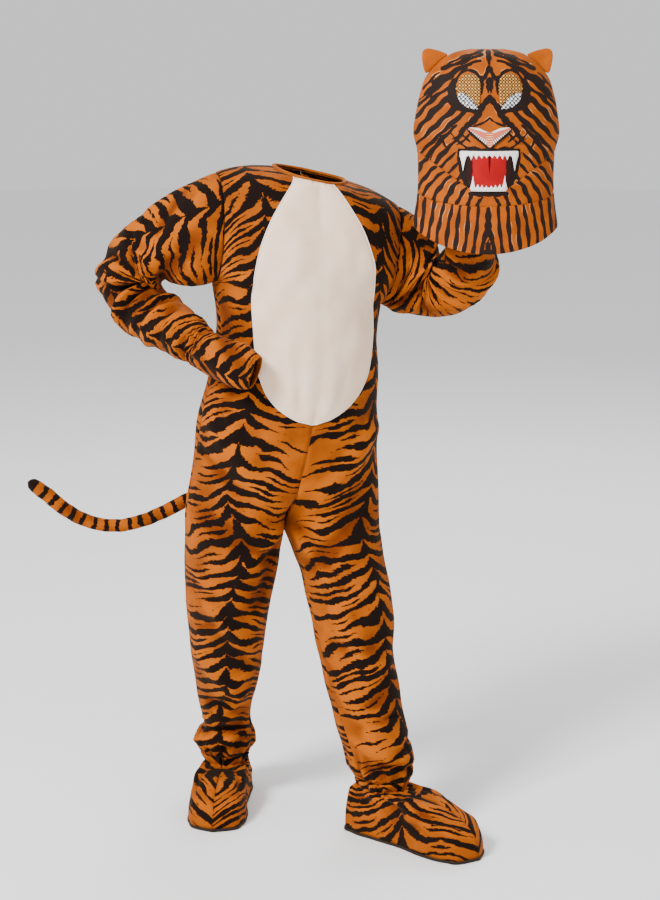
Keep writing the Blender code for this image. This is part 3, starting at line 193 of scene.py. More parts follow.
PANEL_FOLDS = [
    # face, start x, start z, end x, end z, rise, half width at the start and at the end
    ("front", -0.160, -0.330, -0.050, -0.480, 0.0050, 0.016, 0.016),
    ("front", 0.090, -0.380, -0.010, -0.500, 0.0050, 0.015, 0.015),
    ("front", -0.150, -0.500, -0.060, -0.560, -0.0045, 0.015, 0.015),
    ("front", 0.080, -0.500, 0.010, -0.570, -0.0045, 0.015, 0.015),
    ("front", -0.150, -0.640, -0.090, -0.720, 0.0045, 0.014, 0.014),
    ("front", -0.170, -0.730, -0.110, -0.800, 0.0040, 0.013, 0.013),
    ("front", 0.040, -0.640, 0.090, -0.740, 0.0045, 0.014, 0.014),
    ("front", 0.050, -0.760, 0.110, -0.850, 0.0050, 0.013, 0.013),
    ("front", -0.130, -0.190, -0.115, -0.300, -0.0035, 0.012, 0.012),
    ("front", -0.045, -0.520, -0.105, -0.585, 0.0035, 0.006, 0.013),
    ("front", -0.030, -0.520, 0.030, -0.600, 0.0030, 0.006, 0.012),
    ("front", -0.048, -0.545, -0.075, -0.640, -0.0030, 0.005, 0.011),
    ("front", -0.160, -0.400, -0.110, -0.450, -0.0030, 0.006, 0.012),
    ("front", -0.170, -0.590, -0.120, -0.620, 0.0028, 0.007, 0.012),
    ("front", -0.165, -0.680, -0.125, -0.660, -0.0026, 0.006, 0.010),
    ("front", -0.095, -0.760, -0.140, -0.800, 0.0030, 0.006, 0.010),
    ("front", -0.160, -0.815, -0.110, -0.835, -0.0030, 0.006, 0.010),
    ("front", -0.110, -0.838, -0.160, -0.858, 0.0030, 0.006, 0.009),
    ("front", 0.100, -0.600, 0.060, -0.625, 0.0028, 0.006, 0.012),
    ("front", 0.030, -0.690, 0.075, -0.705, -0.0028, 0.005, 0.011),
    ("front", 0.055, -0.730, 0.115, -0.725, 0.0028, 0.006, 0.011),
    ("front", 0.130, -0.800, 0.080, -0.812, -0.0032, 0.006, 0.010),
    ("front", 0.060, -0.835, 0.120, -0.868, 0.0035, 0.006, 0.010),
    ("front", 0.150, -0.845, 0.100, -0.885, -0.0030, 0.006, 0.009),
    ("front", -0.140, -0.120, -0.085, -0.150, 0.0030, 0.006, 0.013),
    ("front", 0.120, -0.150, 0.085, -0.120, 0.0030, 0.006, 0.012),
    ("front", -0.118, -0.345, -0.095, -0.395, 0.0035, 0.006, 0.012),
    ("front", -0.175, -0.872, -0.110, -0.866, -0.0045, 0.005, 0.006),
    ("front", -0.180, -0.893, -0.125, -0.884, 0.0040, 0.006, 0.006),
    ("front", -0.095, -0.886, -0.140, -0.902, -0.0035, 0.005, 0.005),
    ("front", -0.165, -0.848, -0.120, -0.826, 0.0040, 0.005, 0.007),
    ("front", 0.060, -0.790, 0.105, -0.776, -0.0035, 0.005, 0.008),
    ("front", 0.145, -0.868, 0.090, -0.852, 0.0040, 0.005, 0.007),
    ("front", 0.070, -0.872, 0.115, -0.894, -0.0040, 0.005, 0.006),
    ("front", 0.155, -0.886, 0.105, -0.872, -0.0035, 0.005, 0.006),
    ("back", -0.170, -0.870, -0.110, -0.862, -0.0045, 0.005, 0.006),
    ("back", -0.100, -0.890, -0.150, -0.880, 0.0040, 0.006, 0.006),
    ("back", 0.060, -0.862, 0.120, -0.850, 0.0040, 0.005, 0.007),
    ("back", 0.140, -0.880, 0.080, -0.888, -0.0040, 0.005, 0.006),
    ("back", -0.110, -0.300, -0.010, -0.400, 0.0050, 0.017, 0.017),
    ("back", 0.070, -0.330, -0.020, -0.440, 0.0050, 0.017, 0.017),
    ("back", -0.150, -0.520, -0.070, -0.580, -0.0045, 0.016, 0.016),
    ("back", 0.070, -0.520, 0.000, -0.590, -0.0045, 0.016, 0.016),
    ("back", -0.160, -0.690, -0.090, -0.760, 0.0050, 0.015, 0.015),
    ("back", 0.040, -0.660, 0.100, -0.740, 0.0050, 0.015, 0.015),
    ("back", -0.080, -0.090, -0.020, -0.200, 0.0040, 0.018, 0.018),
    ("back", 0.070, -0.100, 0.010, -0.210, 0.0040, 0.018, 0.018),
    ("back", -0.060, -0.560, -0.120, -0.600, 0.0040, 0.007, 0.013),
    ("back", -0.010, -0.560, 0.050, -0.605, 0.0038, 0.007, 0.013),
    ("back", -0.170, -0.640, -0.110, -0.655, 0.0030, 0.006, 0.012),
    ("back", -0.100, -0.790, -0.155, -0.815, 0.0034, 0.006, 0.011),
    ("back", 0.110, -0.690, 0.050, -0.715, 0.0034, 0.006, 0.012),
    ("back", 0.120, -0.790, 0.075, -0.830, -0.0034, 0.006, 0.011),
    ("back", -0.130, -0.140, -0.090, -0.190, 0.0035, 0.007, 0.014),
    ("back", 0.120, -0.160, 0.075, -0.190, 0.0035, 0.007, 0.014),
    ("back", -0.030, -0.250, -0.110, -0.275, -0.0035, 0.008, 0.014),
    ("back", 0.000, -0.270, 0.080, -0.250, -0.0032, 0.008, 0.014),
]


def unit(vectors):
    return vectors / np.maximum(np.linalg.norm(vectors, axis=-1, keepdims=True), 1e-9)


def stack(x, y, z):
    return np.stack(np.broadcast_arrays(x, y, z), axis=-1).astype(float)


def torso_axes(height):
    """The torso's middle, its direction to the wearer's left, and its facing direction."""
    turn = np.radians(TORSO.read("turn", height))
    middle = stack(TORSO.read("x", height), TORSO.read("y", height), height)
    left = stack(np.cos(turn), np.sin(turn), 0.0)
    facing = stack(np.sin(turn), -np.cos(turn), 0.0)
    return middle, left, facing


def torso_point(across, forward, height):
    """A point given across (to the wearer's left), forward and by height, with the shoulders' lean."""
    middle, left, facing = torso_axes(height)
    point = middle + left * np.asarray(across)[..., None] + facing * np.asarray(forward)[..., None]
    point[..., 2] -= TORSO.read("lean", height) * across
    return point


def leg_point(side, angle, height):
    """A point of a leg's ring; the angle runs from the inseam (-90) by the front to the side (90)."""
    sign = 1 if side == "left" else -1
    table = LEG[side]
    turn = np.radians(table.read("turn", height))
    left = stack(np.cos(turn), np.sin(turn), 0.0)
    facing = stack(np.sin(turn), -np.cos(turn), 0.0)
    middle = stack(table.read("x", height), table.read("y", height), height)
    across = sign * table.read("half_width", height) * np.sin(angle)
    forward = table.read("half_depth", height) * np.cos(angle)
    return middle + left * across[..., None] + facing * forward[..., None]


def armhole_point(face, part):
    """The armhole from the shoulder's tip (0) to the armpit (1), in torso measures."""
    middle = (SHOULDER_TIP_HEIGHT + ARMPIT_HEIGHT) / 2
    half = (SHOULDER_TIP_HEIGHT - ARMPIT_HEIGHT) / 2
    across = SHOULDER_HALF_WIDTH + (TORSO.read("half_width", ARMPIT_HEIGHT) - SHOULDER_HALF_WIDTH) * part
    return stack(across, face * ARMHOLE_DEPTH * np.sin(np.pi * part), middle + half * np.cos(np.pi * part))


def centre_edge_point(face, part):
    """The neckline, then the centre seam down to the level of the armpits."""
    depth = NECK_FRONT_DEPTH if face > 0 else NECK_BACK_DEPTH
    low = NECK_FRONT_HEIGHT if face > 0 else NECK_BACK_HEIGHT
    angle = np.clip(part / NECK_PART, 0.0, 1.0) * np.pi / 2
    neckline = stack(NECK_HALF_WIDTH * np.cos(angle), face * depth * np.sin(angle),
                     NECK_SIDE_HEIGHT + (low - NECK_SIDE_HEIGHT) * np.sin(angle))
    down = np.clip((part - NECK_PART) / (1 - NECK_PART), 0.0, 1.0)
    full = TORSO.read("half_depth", ARMPIT_HEIGHT)
    seam = stack(0.0, face * (depth + (full - depth) * np.sin(down * np.pi / 2)),
                 low + (ARMPIT_HEIGHT - low) * down)
    return np.where((part <= NECK_PART)[..., None], neckline, seam)


def shoulder_point(face, u, v):
    """A point of a panel above the armpits, blended from its four edges (torso measures)."""
    rounded = np.sin(v * np.pi / 2)
    blend = stack(v, rounded, v)
    neck = np.array([NECK_HALF_WIDTH, 0.0, NECK_SIDE_HEIGHT])
    tip = np.array([SHOULDER_HALF_WIDTH, 0.0, SHOULDER_TIP_HEIGHT])
    width = TORSO.read("half_width", ARMPIT_HEIGHT)
    depth = TORSO.read("half_depth", ARMPIT_HEIGHT)
    angle = u * np.pi / 2
    ring = stack(width * np.sin(angle), face * depth * np.cos(angle), ARMPIT_HEIGHT)
    centre_low = np.array([0.0, face * depth, ARMPIT_HEIGHT])
    armpit = np.array([width, 0.0, ARMPIT_HEIGHT])
    at = u[..., None]
    seam = neck + (tip - neck) * at
    seam[..., 2] += SHOULDER_ARCH * np.sin(np.pi * u)
    edges = (1 - blend) * seam + blend * ring
    edges = edges + (1 - at) * centre_edge_point(face, v) + at * armhole_point(face, v)
    corners = (1 - at) * ((1 - blend) * neck + blend * centre_low)
    corners = corners + at * ((1 - blend) * tip + blend * armpit)
    return edges - corners


def closed(grid):
    """A grid of rings, with each ring's first point repeated at its end."""
    return np.concatenate([grid, grid[:, :1]], axis=1)


def grid_normals(grid, middles, wraps=False):
    """Unit normals of a grid of points, turned away from each row's middle."""
    whole = closed(grid) if wraps else grid
    cells = unit(np.cross(whole[1:, 1:] - whole[:-1, :-1], whole[1:, :-1] - whole[:-1, 1:]))
    total = np.zeros_like(whole)
    for rows in (slice(None, -1), slice(1, None)):
        total[rows, :-1] += cells
        total[rows, 1:] += cells
    if wraps:
        total[:, 0] += total[:, -1]
        total = total[:, :-1]
    normals = unit(total)
    if float((normals * (grid - middles[:, None, :])).sum()) < 0:
        normals = -normals
    return normals


def panel_heights(side):
    """Heights of a panel's rows below the armpits, down to the gathered hem."""
    hem = LEG[side].rows[0, 0]
    count = int(round((ARMPIT_HEIGHT - hem) / ROW_HEIGHT))
    return np.linspace(ARMPIT_HEIGHT, hem, count + 1)[1:]


def panel_form(side, face):
    """Rows of points of one body panel, from the centre or inseam to the armhole and side seam."""
    sign = 1 if side == "left" else -1
    part = np.linspace(0.0, 1.0, PANEL_COLUMNS + 1)
    v, u = np.meshgrid(np.linspace(0.0, 1.0, SHOULDER_ROWS + 1), part, indexing="ij")
    local = shoulder_point(face, u, v)
    upper = torso_point(sign * local[..., 0], local[..., 1], local[..., 2])
    height, across_part = np.meshgrid(panel_heights(side), part, indexing="ij")
    weight = np.clip((BLEND_TOP - height) / (BLEND_TOP - CROTCH_HEIGHT), 0.0, 1.0)
    weight = (weight * weight * (3 - 2 * weight))[..., None]
    around = across_part * np.pi / 2
    body = torso_point(sign * TORSO.read("half_width", height) * np.sin(around),
                       face * TORSO.read("half_depth", height) * np.cos(around), height)
    angle = np.pi * across_part - np.pi / 2
    if face < 0:
        angle = np.pi - angle
    leg = leg_point(side, angle, np.minimum(height, CROTCH_HEIGHT))
    leg[..., 2] = height
    return np.concatenate([upper, body * (1 - weight) + leg * weight])


def panel_fold_height(face_name, points):
    """How far the cloth stands out on a panel, from the table of folds and two long soft waves."""
    total = 0.0012 * np.sin(points[..., 0] * 61.0 + points[..., 2] * 37.0)
    total = total + 0.0009 * np.sin(points[..., 0] * 113.0 - points[..., 2] * 71.0 + 1.3)
    for fold_face, x0, z0, x1, z1, rise, width0, width1 in PANEL_FOLDS:
        if fold_face != face_name:
            continue
        run = np.array([x1 - x0, z1 - z0])
        length = float(np.linalg.norm(run))
        dx, dz = points[..., 0] - x0, points[..., 2] - z0
        along = (dx * run[0] + dz * run[1]) / (length * length)
        beside = np.abs(dx * run[1] - dz * run[0]) / length
        past = np.maximum(0.0, np.maximum(-along, along - 1.0)) * length
        width = width0 + (width1 - width0) * np.clip(along, 0.0, 1.0)
        near = np.exp(-(beside ** 2 + past ** 2) / (0.72 * width * width))
        total = total + PANEL_FOLD_GAIN * rise * near
    return total


def run_lengths(grid, axis):
    """Cloth lengths along one axis of a grid, from its start."""
    steps = np.linalg.norm(np.diff(grid, axis=axis), axis=-1)
    start = np.zeros_like(np.take(steps, [0], axis=axis))
    return np.concatenate([start, np.cumsum(steps, axis=axis)], axis=axis)


def side_distance(grid):
    """Cloth lengths from the nearer of a grid's two side edges."""
    return np.minimum(run_lengths(grid, 1), run_lengths(grid[:, ::-1], 1)[:, ::-1])


def between_spines(across):
    """Distances across a cloth whose print has a spine at every gap, folded back between them."""
    side = np.sign(np.sin(np.pi * (across + 1e-6) / SPINE_GAP) + 1e-9)
    return np.abs((across + SPINE_GAP / 2) % SPINE_GAP - SPINE_GAP / 2) * side


def join(name, shape, material):
    """Make an object of a bmesh, with one material and smooth shading."""
    mesh = bpy.data.meshes.new(name)
    shape.to_mesh(mesh)
    shape.free()
    mesh.materials.append(material)
    mesh.shade_smooth()
    thing = bpy.data.objects.new(name, mesh)
    bpy.context.scene.collection.objects.link(thing)
    return thing


def cloth(name, grid, middles, uv, material, wraps=False, thickness=WALL * 0.8, marks=None):
    """A thin sheet on a grid of points, with its own UV map in cloth metres and a wall inwards."""
    if wraps:
        grid = closed(grid)
    rows, columns = grid.shape[:2]
    shape = bmesh.new()
    bmesh.ops.create_grid(shape, x_segments=columns - 1, y_segments=rows - 1, size=1.0)
    layer = shape.loops.layers.uv.new("cloth")
    shade = shape.verts.layers.float.new("mark") if marks is not None else None
    places = {}
    for vert in shape.verts:
        c = int(round((vert.co.x + 1) / 2 * (columns - 1)))
        r = int(round((1 - vert.co.y) / 2 * (rows - 1)))
        places[vert.index] = (r, c)
    shape.verts.ensure_lookup_table()
    for face in shape.faces:
        for loop in face.loops:
            loop[layer].uv = uv[places[loop.vert.index]]
    for vert in shape.verts:
        vert.co = grid[places[vert.index]]
        if shade is not None:
            vert[shade] = float(marks[places[vert.index]])
    shape.normal_update()
    lean = 0.0
    for face in shape.faces:
        r = places[face.verts[0].index][0]
        lean += float(np.array(face.normal) @ (np.array(face.calc_center_median()) - middles[r]))
    if lean < 0:
        bmesh.ops.reverse_faces(shape, faces=shape.faces)
    bmesh.ops.remove_doubles(shape, verts=shape.verts, dist=0.00002)
    thing = join(name, shape, material)
    wall = thing.modifiers.new("wall", "SOLIDIFY")
    wall.thickness = thickness
    wall.offset = -1.0
    return thing


def connect(tree, slots, values):
    """Set each input to a constant or link it to a socket."""
    for slot, value in zip(slots, values):
        if isinstance(value, (int, float, tuple)):
            slot.default_value = value
        else:
            tree.links.new(value, slot)


def number(tree, operation, *values):
    """A maths node with its inputs set or linked; gives its output."""
    node = tree.nodes.new("ShaderNodeMath")
    node.operation = operation
    connect(tree, node.inputs, values)
    return node.outputs[0]


def plus(tree, first, second):
    return number(tree, "ADD", first, second)


def minus(tree, first, second):
    return number(tree, "SUBTRACT", first, second)


def times(tree, first, second):
    return number(tree, "MULTIPLY", first, second)


def noise(tree, vector, scale, detail=2.0):
    """A noise texture read at a vector, as a value round zero."""
    node = tree.nodes.new("ShaderNodeTexNoise")
    node.inputs["Scale"].default_value = scale
    node.inputs["Detail"].default_value = detail
    tree.links.new(vector, node.inputs["Vector"])
    return minus(tree, node.outputs["Fac"], 0.5)


def combined(tree, x, y, z):
    node = tree.nodes.new("ShaderNodeCombineXYZ")
    connect(tree, node.inputs, (x, y, z))
    return node.outputs[0]


def parts_of(tree, vector):
    """The x and the y of a vector."""
    node = tree.nodes.new("ShaderNodeSeparateXYZ")
    tree.links.new(vector, node.inputs[0])
    return node.outputs[0], node.outputs[1]


def step_between(tree, value, low, high):
    """A soft step from 0 at the low value to 1 at the high one."""
    node = tree.nodes.new("ShaderNodeMapRange")
    node.interpolation_type = "SMOOTHSTEP"
    node.inputs["From Min"].default_value = low
    node.inputs["From Max"].default_value = high
    tree.links.new(value, node.inputs["Value"])
    return node.outputs[0]


def mixed(tree, factor, first, second):
    """A colour mix; each of its colours is a constant or a socket."""
    node = tree.nodes.new("ShaderNodeMix")
    node.data_type = "RGBA"
    tree.links.new(factor, node.inputs["Factor"])
    connect(tree, [slot for slot in node.inputs if slot.type == "RGBA"], (first, second))
    return next(slot for slot in node.outputs if slot.type == "RGBA")


def new_group(name, given, results):
    """A node group with named sockets; gives its tree, its input node and its output node."""
    tree = bpy.data.node_groups.new(name, "ShaderNodeTree")
    for socket, kind in given:
        tree.interface.new_socket(socket, in_out="INPUT", socket_type=kind)
    for socket in results:
        tree.interface.new_socket(socket, in_out="OUTPUT", socket_type="NodeSocketFloat")
    return tree, tree.nodes.new("NodeGroupInput"), tree.nodes.new("NodeGroupOutput")


# The print's sizes in cloth metres; a pair gives a size's least value and its random spread.
SPINE_GAP = 0.150
STRIPE_PERIOD = 0.0265
STRIPE_FALL = 0.20
SPINE_ARCH = 0.016
SPINE_HALF_WIDTH = 0.0085
LONG_REACH = (0.055, 0.14)
LONG_HALF_WIDTH = (0.0036, 0.0024)
SHORT_START = (0.014, 0.050)
SHORT_RUN = (0.030, 0.080)
SHORT_HALF_WIDTH = (0.0014, 0.0022)
RAGGED_EDGE = 0.0070
# PLUSH_DEEP and PLUSH_LIGHT: the plush's ground, mixed by random tone and by painted fold shade (lighter on
# ridges, darker in troughs).
PLUSH_LIGHT = (0.430, 0.096, 0.0008, 1.0)
PLUSH_DEEP = (0.150, 0.026, 0.0004, 1.0)
PLUSH_DARK = (0.0060, 0.0022, 0.0014, 1.0)


def drawn(tree, chance, least_and_spread):
    """A size picked by a random number between its least value and that plus its spread."""
    least, spread = least_and_spread
    return plus(tree, times(tree, chance, spread), least)


def stripe_at(tree, phase, side, seed):
    """The distance from the nearest stripe's middle, and that stripe's three random numbers."""
    off = number(tree, "ABSOLUTE", minus(tree, number(tree, "FRACT", phase), 0.5))
    chance = tree.nodes.new("ShaderNodeTexWhiteNoise")
    chance.noise_dimensions = "3D"
    stripe = combined(tree, number(tree, "FLOOR", phase), side, seed)
    tree.links.new(stripe, chance.inputs["Vector"])
    parts = tree.nodes.new("ShaderNodeSeparateColor")
    tree.links.new(chance.outputs["Color"], parts.inputs[0])
    return [times(tree, off, STRIPE_PERIOD)] + list(parts.outputs)


def stripe_depth(tree, half, ending, uneven, off):
    """How far inside a stripe a place lies; the stripe narrows to nothing at its ending."""
    ending = number(tree, "MAXIMUM", number(tree, "MINIMUM", ending, 1.0), -0.4)
    half = times(tree, times(tree, half, ending), plus(tree, times(tree, uneven, 2.2), 1.0))
    return minus(tree, half, off)


def make_tiger_print():
    """Ragged dark stripes that fall away on both sides of a dark spine, over cloth measures."""
    sockets = [("Cloth", "NodeSocketVector"), ("Seed", "NodeSocketFloat")]
    tree, given, result = new_group("tiger_print", sockets, ["Dark"])
    seed = given.outputs["Seed"]
    x, y = parts_of(tree, given.outputs["Cloth"])
    place = combined(tree, x, y, seed)
    stretched = combined(tree, times(tree, x, 0.45), times(tree, y, 1.5), seed)
    sway = times(tree, noise(tree, combined(tree, seed, y, 0.0), 9.0, 1.0), 0.018)
    across = plus(tree, plus(tree, x, sway), times(tree, noise(tree, place, 420.0), 0.006))
    beside = number(tree, "ABSOLUTE", across)
    side = number(tree, "SIGN", across)
    near = number(tree, "EXPONENT", times(tree, beside, -75.0))
    arch = times(tree, minus(tree, 1.0, near), SPINE_ARCH)
    fall = plus(tree, times(tree, beside, STRIPE_FALL), arch)
    down = plus(tree, minus(tree, y, fall), times(tree, noise(tree, place, 13.0, 1.0), 0.050))
    phase = plus(tree, number(tree, "DIVIDE", down, STRIPE_PERIOD), times(tree, side, 0.05))
    uneven = noise(tree, place, 46.0)

    off, first, second, _ = stripe_at(tree, phase, side, seed)
    reach = drawn(tree, first, LONG_REACH)
    half = plus(tree, drawn(tree, second, LONG_HALF_WIDTH), times(tree, near, SPINE_HALF_WIDTH))
    ending = number(tree, "DIVIDE", minus(tree, reach, beside), 0.045)
    long_stripes = stripe_depth(tree, half, ending, uneven, off)

    halfway = plus(tree, phase, 0.5)
    off, first, second, third = stripe_at(tree, halfway, side, plus(tree, seed, 17.0))
    start = drawn(tree, first, SHORT_START)
    reach = plus(tree, start, drawn(tree, third, SHORT_RUN))
    begun = number(tree, "DIVIDE", minus(tree, beside, start), 0.014)
    ending = number(tree, "DIVIDE", minus(tree, reach, beside), 0.025)
    ending = number(tree, "MINIMUM", begun, ending)
    half = drawn(tree, second, SHORT_HALF_WIDTH)
    short_stripes = stripe_depth(tree, half, ending, uneven, off)

    darkest = number(tree, "MAXIMUM", long_stripes, short_stripes)
    darkest = plus(tree, darkest, times(tree, noise(tree, stretched, 260.0, 3.0), RAGGED_EDGE))
    tree.links.new(step_between(tree, darkest, -0.0003, 0.0003), result.inputs["Dark"])
    return tree


def make_nap():
    """Short pile: a fine uneven height and a broad soft change of shade."""
    sockets = [("Cloth", "NodeSocketVector")]
    tree, given, result = new_group("pile_nap", sockets, ["Height", "Shade"])
    fine = noise(tree, given.outputs["Cloth"], 1400.0)
    broad = noise(tree, given.outputs["Cloth"], 24.0, 3.0)
    tree.links.new(plus(tree, fine, times(tree, broad, 1.5)), result.inputs["Height"])
    tree.links.new(plus(tree, broad, times(tree, fine, 0.5)), result.inputs["Shade"])
    return tree


TIGER_PRINT = make_tiger_print()
PILE_NAP = make_nap()


def cloth_material(name, roughness=0.9, sheen=0.05, bump=0.0006):
    """A Principled cloth with pile; gives the material, its tree, shader and cloth vector."""
    material = bpy.data.materials.new(name)
    material.use_nodes = True
    tree = material.node_tree
    shader = tree.nodes["Principled BSDF"]
    shader.inputs["Roughness"].default_value = roughness
    shader.inputs["Sheen Weight"].default_value = sheen
    shader.inputs["Sheen Roughness"].default_value = 0.45
    shader.inputs["Sheen Tint"].default_value = (1.0, 0.62, 0.30, 1.0)
    shader.inputs["Specular IOR Level"].default_value = 0.10
    uv = tree.nodes.new("ShaderNodeUVMap")
    uv.uv_map = "cloth"
    nap = tree.nodes.new("ShaderNodeGroup")
    nap.node_tree = PILE_NAP
    tree.links.new(uv.outputs[0], nap.inputs["Cloth"])
    relief = tree.nodes.new("ShaderNodeBump")
    relief.inputs["Strength"].default_value = 0.8
    relief.inputs["Distance"].default_value = bump
    tree.links.new(nap.outputs["Height"], relief.inputs["Height"])
    tree.links.new(relief.outputs[0], shader.inputs["Normal"])
    return material, tree, shader, uv.outputs[0], nap.outputs["Shade"]


def printed_plush(name, seed):
    """Orange plush with the dark striped print, with painted light and shade from its folds: lighter on their
    ridges, darker in their troughs.
    """
    material, tree, shader, cloth_place, shade = cloth_material(name)
    mark = tree.nodes.new("ShaderNodeAttribute")
    mark.attribute_name = "mark"
    # Painted light and shade: the fold height in the mark attribute is added to the random tone, so ridges go
    # lighter and troughs darker.
    tone_and_fold_shade = plus(tree, shade, mark.outputs["Fac"])
    ground = mixed(tree, step_between(tree, tone_and_fold_shade, -0.50, 0.40), PLUSH_DEEP, PLUSH_LIGHT)
    stripes = tree.nodes.new("ShaderNodeGroup")
    stripes.node_tree = TIGER_PRINT
    stripes.inputs["Seed"].default_value = seed
    tree.links.new(cloth_place, stripes.inputs["Cloth"])
    colour = mixed(tree, stripes.outputs["Dark"], ground, PLUSH_DARK)
    tree.links.new(colour, shader.inputs["Base Color"])
    return material


def fold_shade_marks(height):
    """Painted light and shade for folds: how much lighter a fold's ridge and how much darker its trough is
    painted.
    """
    return 0.55 * np.tanh(height / 0.005)


GRIDS = {}
MIDDLES = {}
SPINE_PART = {
    ("right", "front"): 0.50, ("left", "front"): 0.64, ("right", "back"): 0.50, ("left", "back"): 0.52,
}
PANEL_SEED = {
    ("right", "front"): 1.7, ("left", "front"): 4.3, ("right", "back"): 8.8, ("left", "back"): 11.4,
}


def gather_depth(side, points):
    """Small uneven pleats drawn into the trouser hem, fading out up the leg."""
    hem = LEG[side].rows[0, 0]
    rise = points[..., 2] - hem
    near = np.exp(-(rise / PLEAT_REACH) ** 2) * (0.25 + 0.75 * np.clip(rise / 0.012, 0.0, 1.0))
    middle = np.array([LEG[side].read("x", hem), LEG[side].read("y", hem)])
    turn = np.arctan2(points[..., 1] - middle[1], points[..., 0] - middle[0])
    wave = np.sin(turn * 13.0 + 1.1 * np.sin(turn * 3.0)) + 0.5 * np.sin(turn * 22.0 + rise * 60.0)
    return near * PLEAT_DEPTH * wave


def make_panel(side, face_name):
    """One body panel with its folds, seam dips, print, painted fold shade and wall."""
    face = 1 if face_name == "front" else -1
    grid = panel_form(side, face)
    middles = grid[:, [0, -1]].mean(axis=1)
    middles[:SHOULDER_ROWS + 1] = np.array([0.0, 0.0, -0.120])
    normals = grid_normals(grid, middles)
    part = np.linspace(0.0, 1.0, PANEL_COLUMNS + 1)
    quiet = np.sqrt(np.clip(np.sin(np.pi * part), 0.0, 1.0))[None, :] * np.ones((grid.shape[0], 1))
    quiet[:SHOULDER_ROWS] *= np.linspace(0.0, 1.0, SHOULDER_ROWS)[:, None] ** 2
    height = panel_fold_height(face_name, grid) * quiet + gather_depth(side, grid)
    dip = SEAM_DIP * np.exp(-(side_distance(grid) / SEAM_HALF_WIDTH) ** 2)
    hem_rise = grid[..., 2] - LEG[side].rows[0, 0]
    dip = dip + HEM_STITCH_DIP * np.exp(-((hem_rise - HEM_STITCH_RISE) / 0.0025) ** 2)
    grid = grid + normals * (height - dip)[..., None]
    across = run_lengths(grid, 1)
    spine = SPINE_PART[side, face_name] * PANEL_COLUMNS
    low = int(spine)
    at_spine = across[:, low] + (across[:, low + 1] - across[:, low]) * (spine - low)
    across = across - at_spine[:, None]
    down = np.repeat(run_lengths(grid, 0)[:, low:low + 1], PANEL_COLUMNS + 1, axis=1)
    uv = np.stack([across, down], axis=-1)
    GRIDS[side, face_name] = grid
    MIDDLES[side, face_name] = middles
    name = "plush_" + face_name + "_" + side
    plush = printed_plush(name, PANEL_SEED[side, face_name])
    # The fold and hem-pleat heights go into the colour as painted shade: lighter on ridges, darker in
    # troughs.
    thing = cloth(name, grid, middles, uv, plush, marks=fold_shade_marks(height))
    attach(thing, "root")
    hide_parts(face_name + "_" + side)
    return thing


for side_name in ("right", "left"):
    front = make_panel(side_name, "front")


# Back panels: the same plush, each in one with the back of its leg, finished plainly.
for side_name in ("right", "left"):
    back = make_panel(side_name, "back")


# Belly panel: cream short-pile plush, a long shield laid over both fronts, its edge
# turned under and sewn down with pale thread.
BELLY = Table(("height", "half_width"), [
    (0.0005, 0.028), (-0.025, 0.046), (-0.065, 0.070), (-0.101, 0.084), (-0.150, 0.093),
    (-0.200, 0.095), (-0.250, 0.092), (-0.290, 0.084), (-0.315, 0.071), (-0.335, 0.051),
    (-0.348, 0.028), (-0.3550, 0.010),
])
BELLY_ROWS = 90
BELLY_COLUMNS = 44
BELLY_TOP = 0.0005
BELLY_LENGTH = 0.3555
BELLY_END = -0.3556
BELLY_ROUNDING = 0.0056
BELLY_LIFT = 0.0008
BELLY_PUFF = 0.0020
LEAST_LIFT = 0.0006
NECK_TUCK = 0.0016
STRAY_STEP = 0.0010
IN_FRONT = 0.10
LAID_THICKNESS = 0.0010
CREAM_DEEP = (0.88, 0.62, 0.44, 1.0)
CREAM_LIGHT = (0.96, 0.74, 0.57, 1.0)
THREAD_DEEP = (0.78, 0.70, 0.62, 1.0)
THREAD_LIGHT = (0.92, 0.87, 0.80, 1.0)
THREAD_RADIUS = 0.0009
BELLY_FOLDS = [
    # across, top height, bottom height, sideways drift, rise, half width
    (-0.052, -0.225, -0.330, 0.012, 0.0022, 0.0060),
    (-0.034, -0.250, -0.345, 0.010, -0.0020, 0.0050),
    (-0.018, -0.215, -0.350, 0.008, 0.0026, 0.0065),
    (0.004, -0.245, -0.350, 0.004, -0.0018, 0.0050),
    (0.022, -0.230, -0.345, -0.004, 0.0022, 0.0065),
    (0.046, -0.255, -0.325, -0.008, -0.0018, 0.0060),
    (-0.030, -0.060, -0.160, -0.010, 0.0016, 0.0110),
    (0.034, -0.050, -0.150, 0.012, 0.0016, 0.0110),
    (0.064, -0.150, -0.240, -0.006, 0.0018, 0.0090),
]


def tree_of(grids):
    """A search tree over one or more grids of points."""
    verts, faces = [], []
    for grid in grids:
        rows, columns = grid.shape[:2]
        start = len(verts)
        verts.extend(grid.reshape(-1, 3).tolist())
        for r in range(rows - 1):
            for c in range(columns - 1):
                a = start + r * columns + c
                faces.append((a, a + 1, a + columns + 1, a + columns))
    return BVHTree.FromPolygons(verts, faces)


def seated(tree, points, toward, lift):
    """Points moved along a direction until they lie on the searched cloth, then lifted off it."""
    toward = Vector(toward).normalized()
    result = np.array(points, dtype=float)
    flat = result.reshape(-1, 3)
    lifts = np.broadcast_to(lift, result.shape[:-1]).reshape(-1)
    for k, point in enumerate(flat):
        start = Vector(point) - toward * 0.25
        for step in (0.0, 0.0015, -0.0015, 0.0030, -0.0030):
            aside = Vector((step, 0.0, 0.0))
            hit, _, _, _ = tree.ray_cast(start + aside, toward)
            if hit is not None:
                hit = hit - aside
                break
        if hit is None:
            hit, _, _, _ = tree.find_nearest(Vector(point))
        flat[k] = np.array(hit - toward * float(lifts[k]))
    return flat.reshape(result.shape)


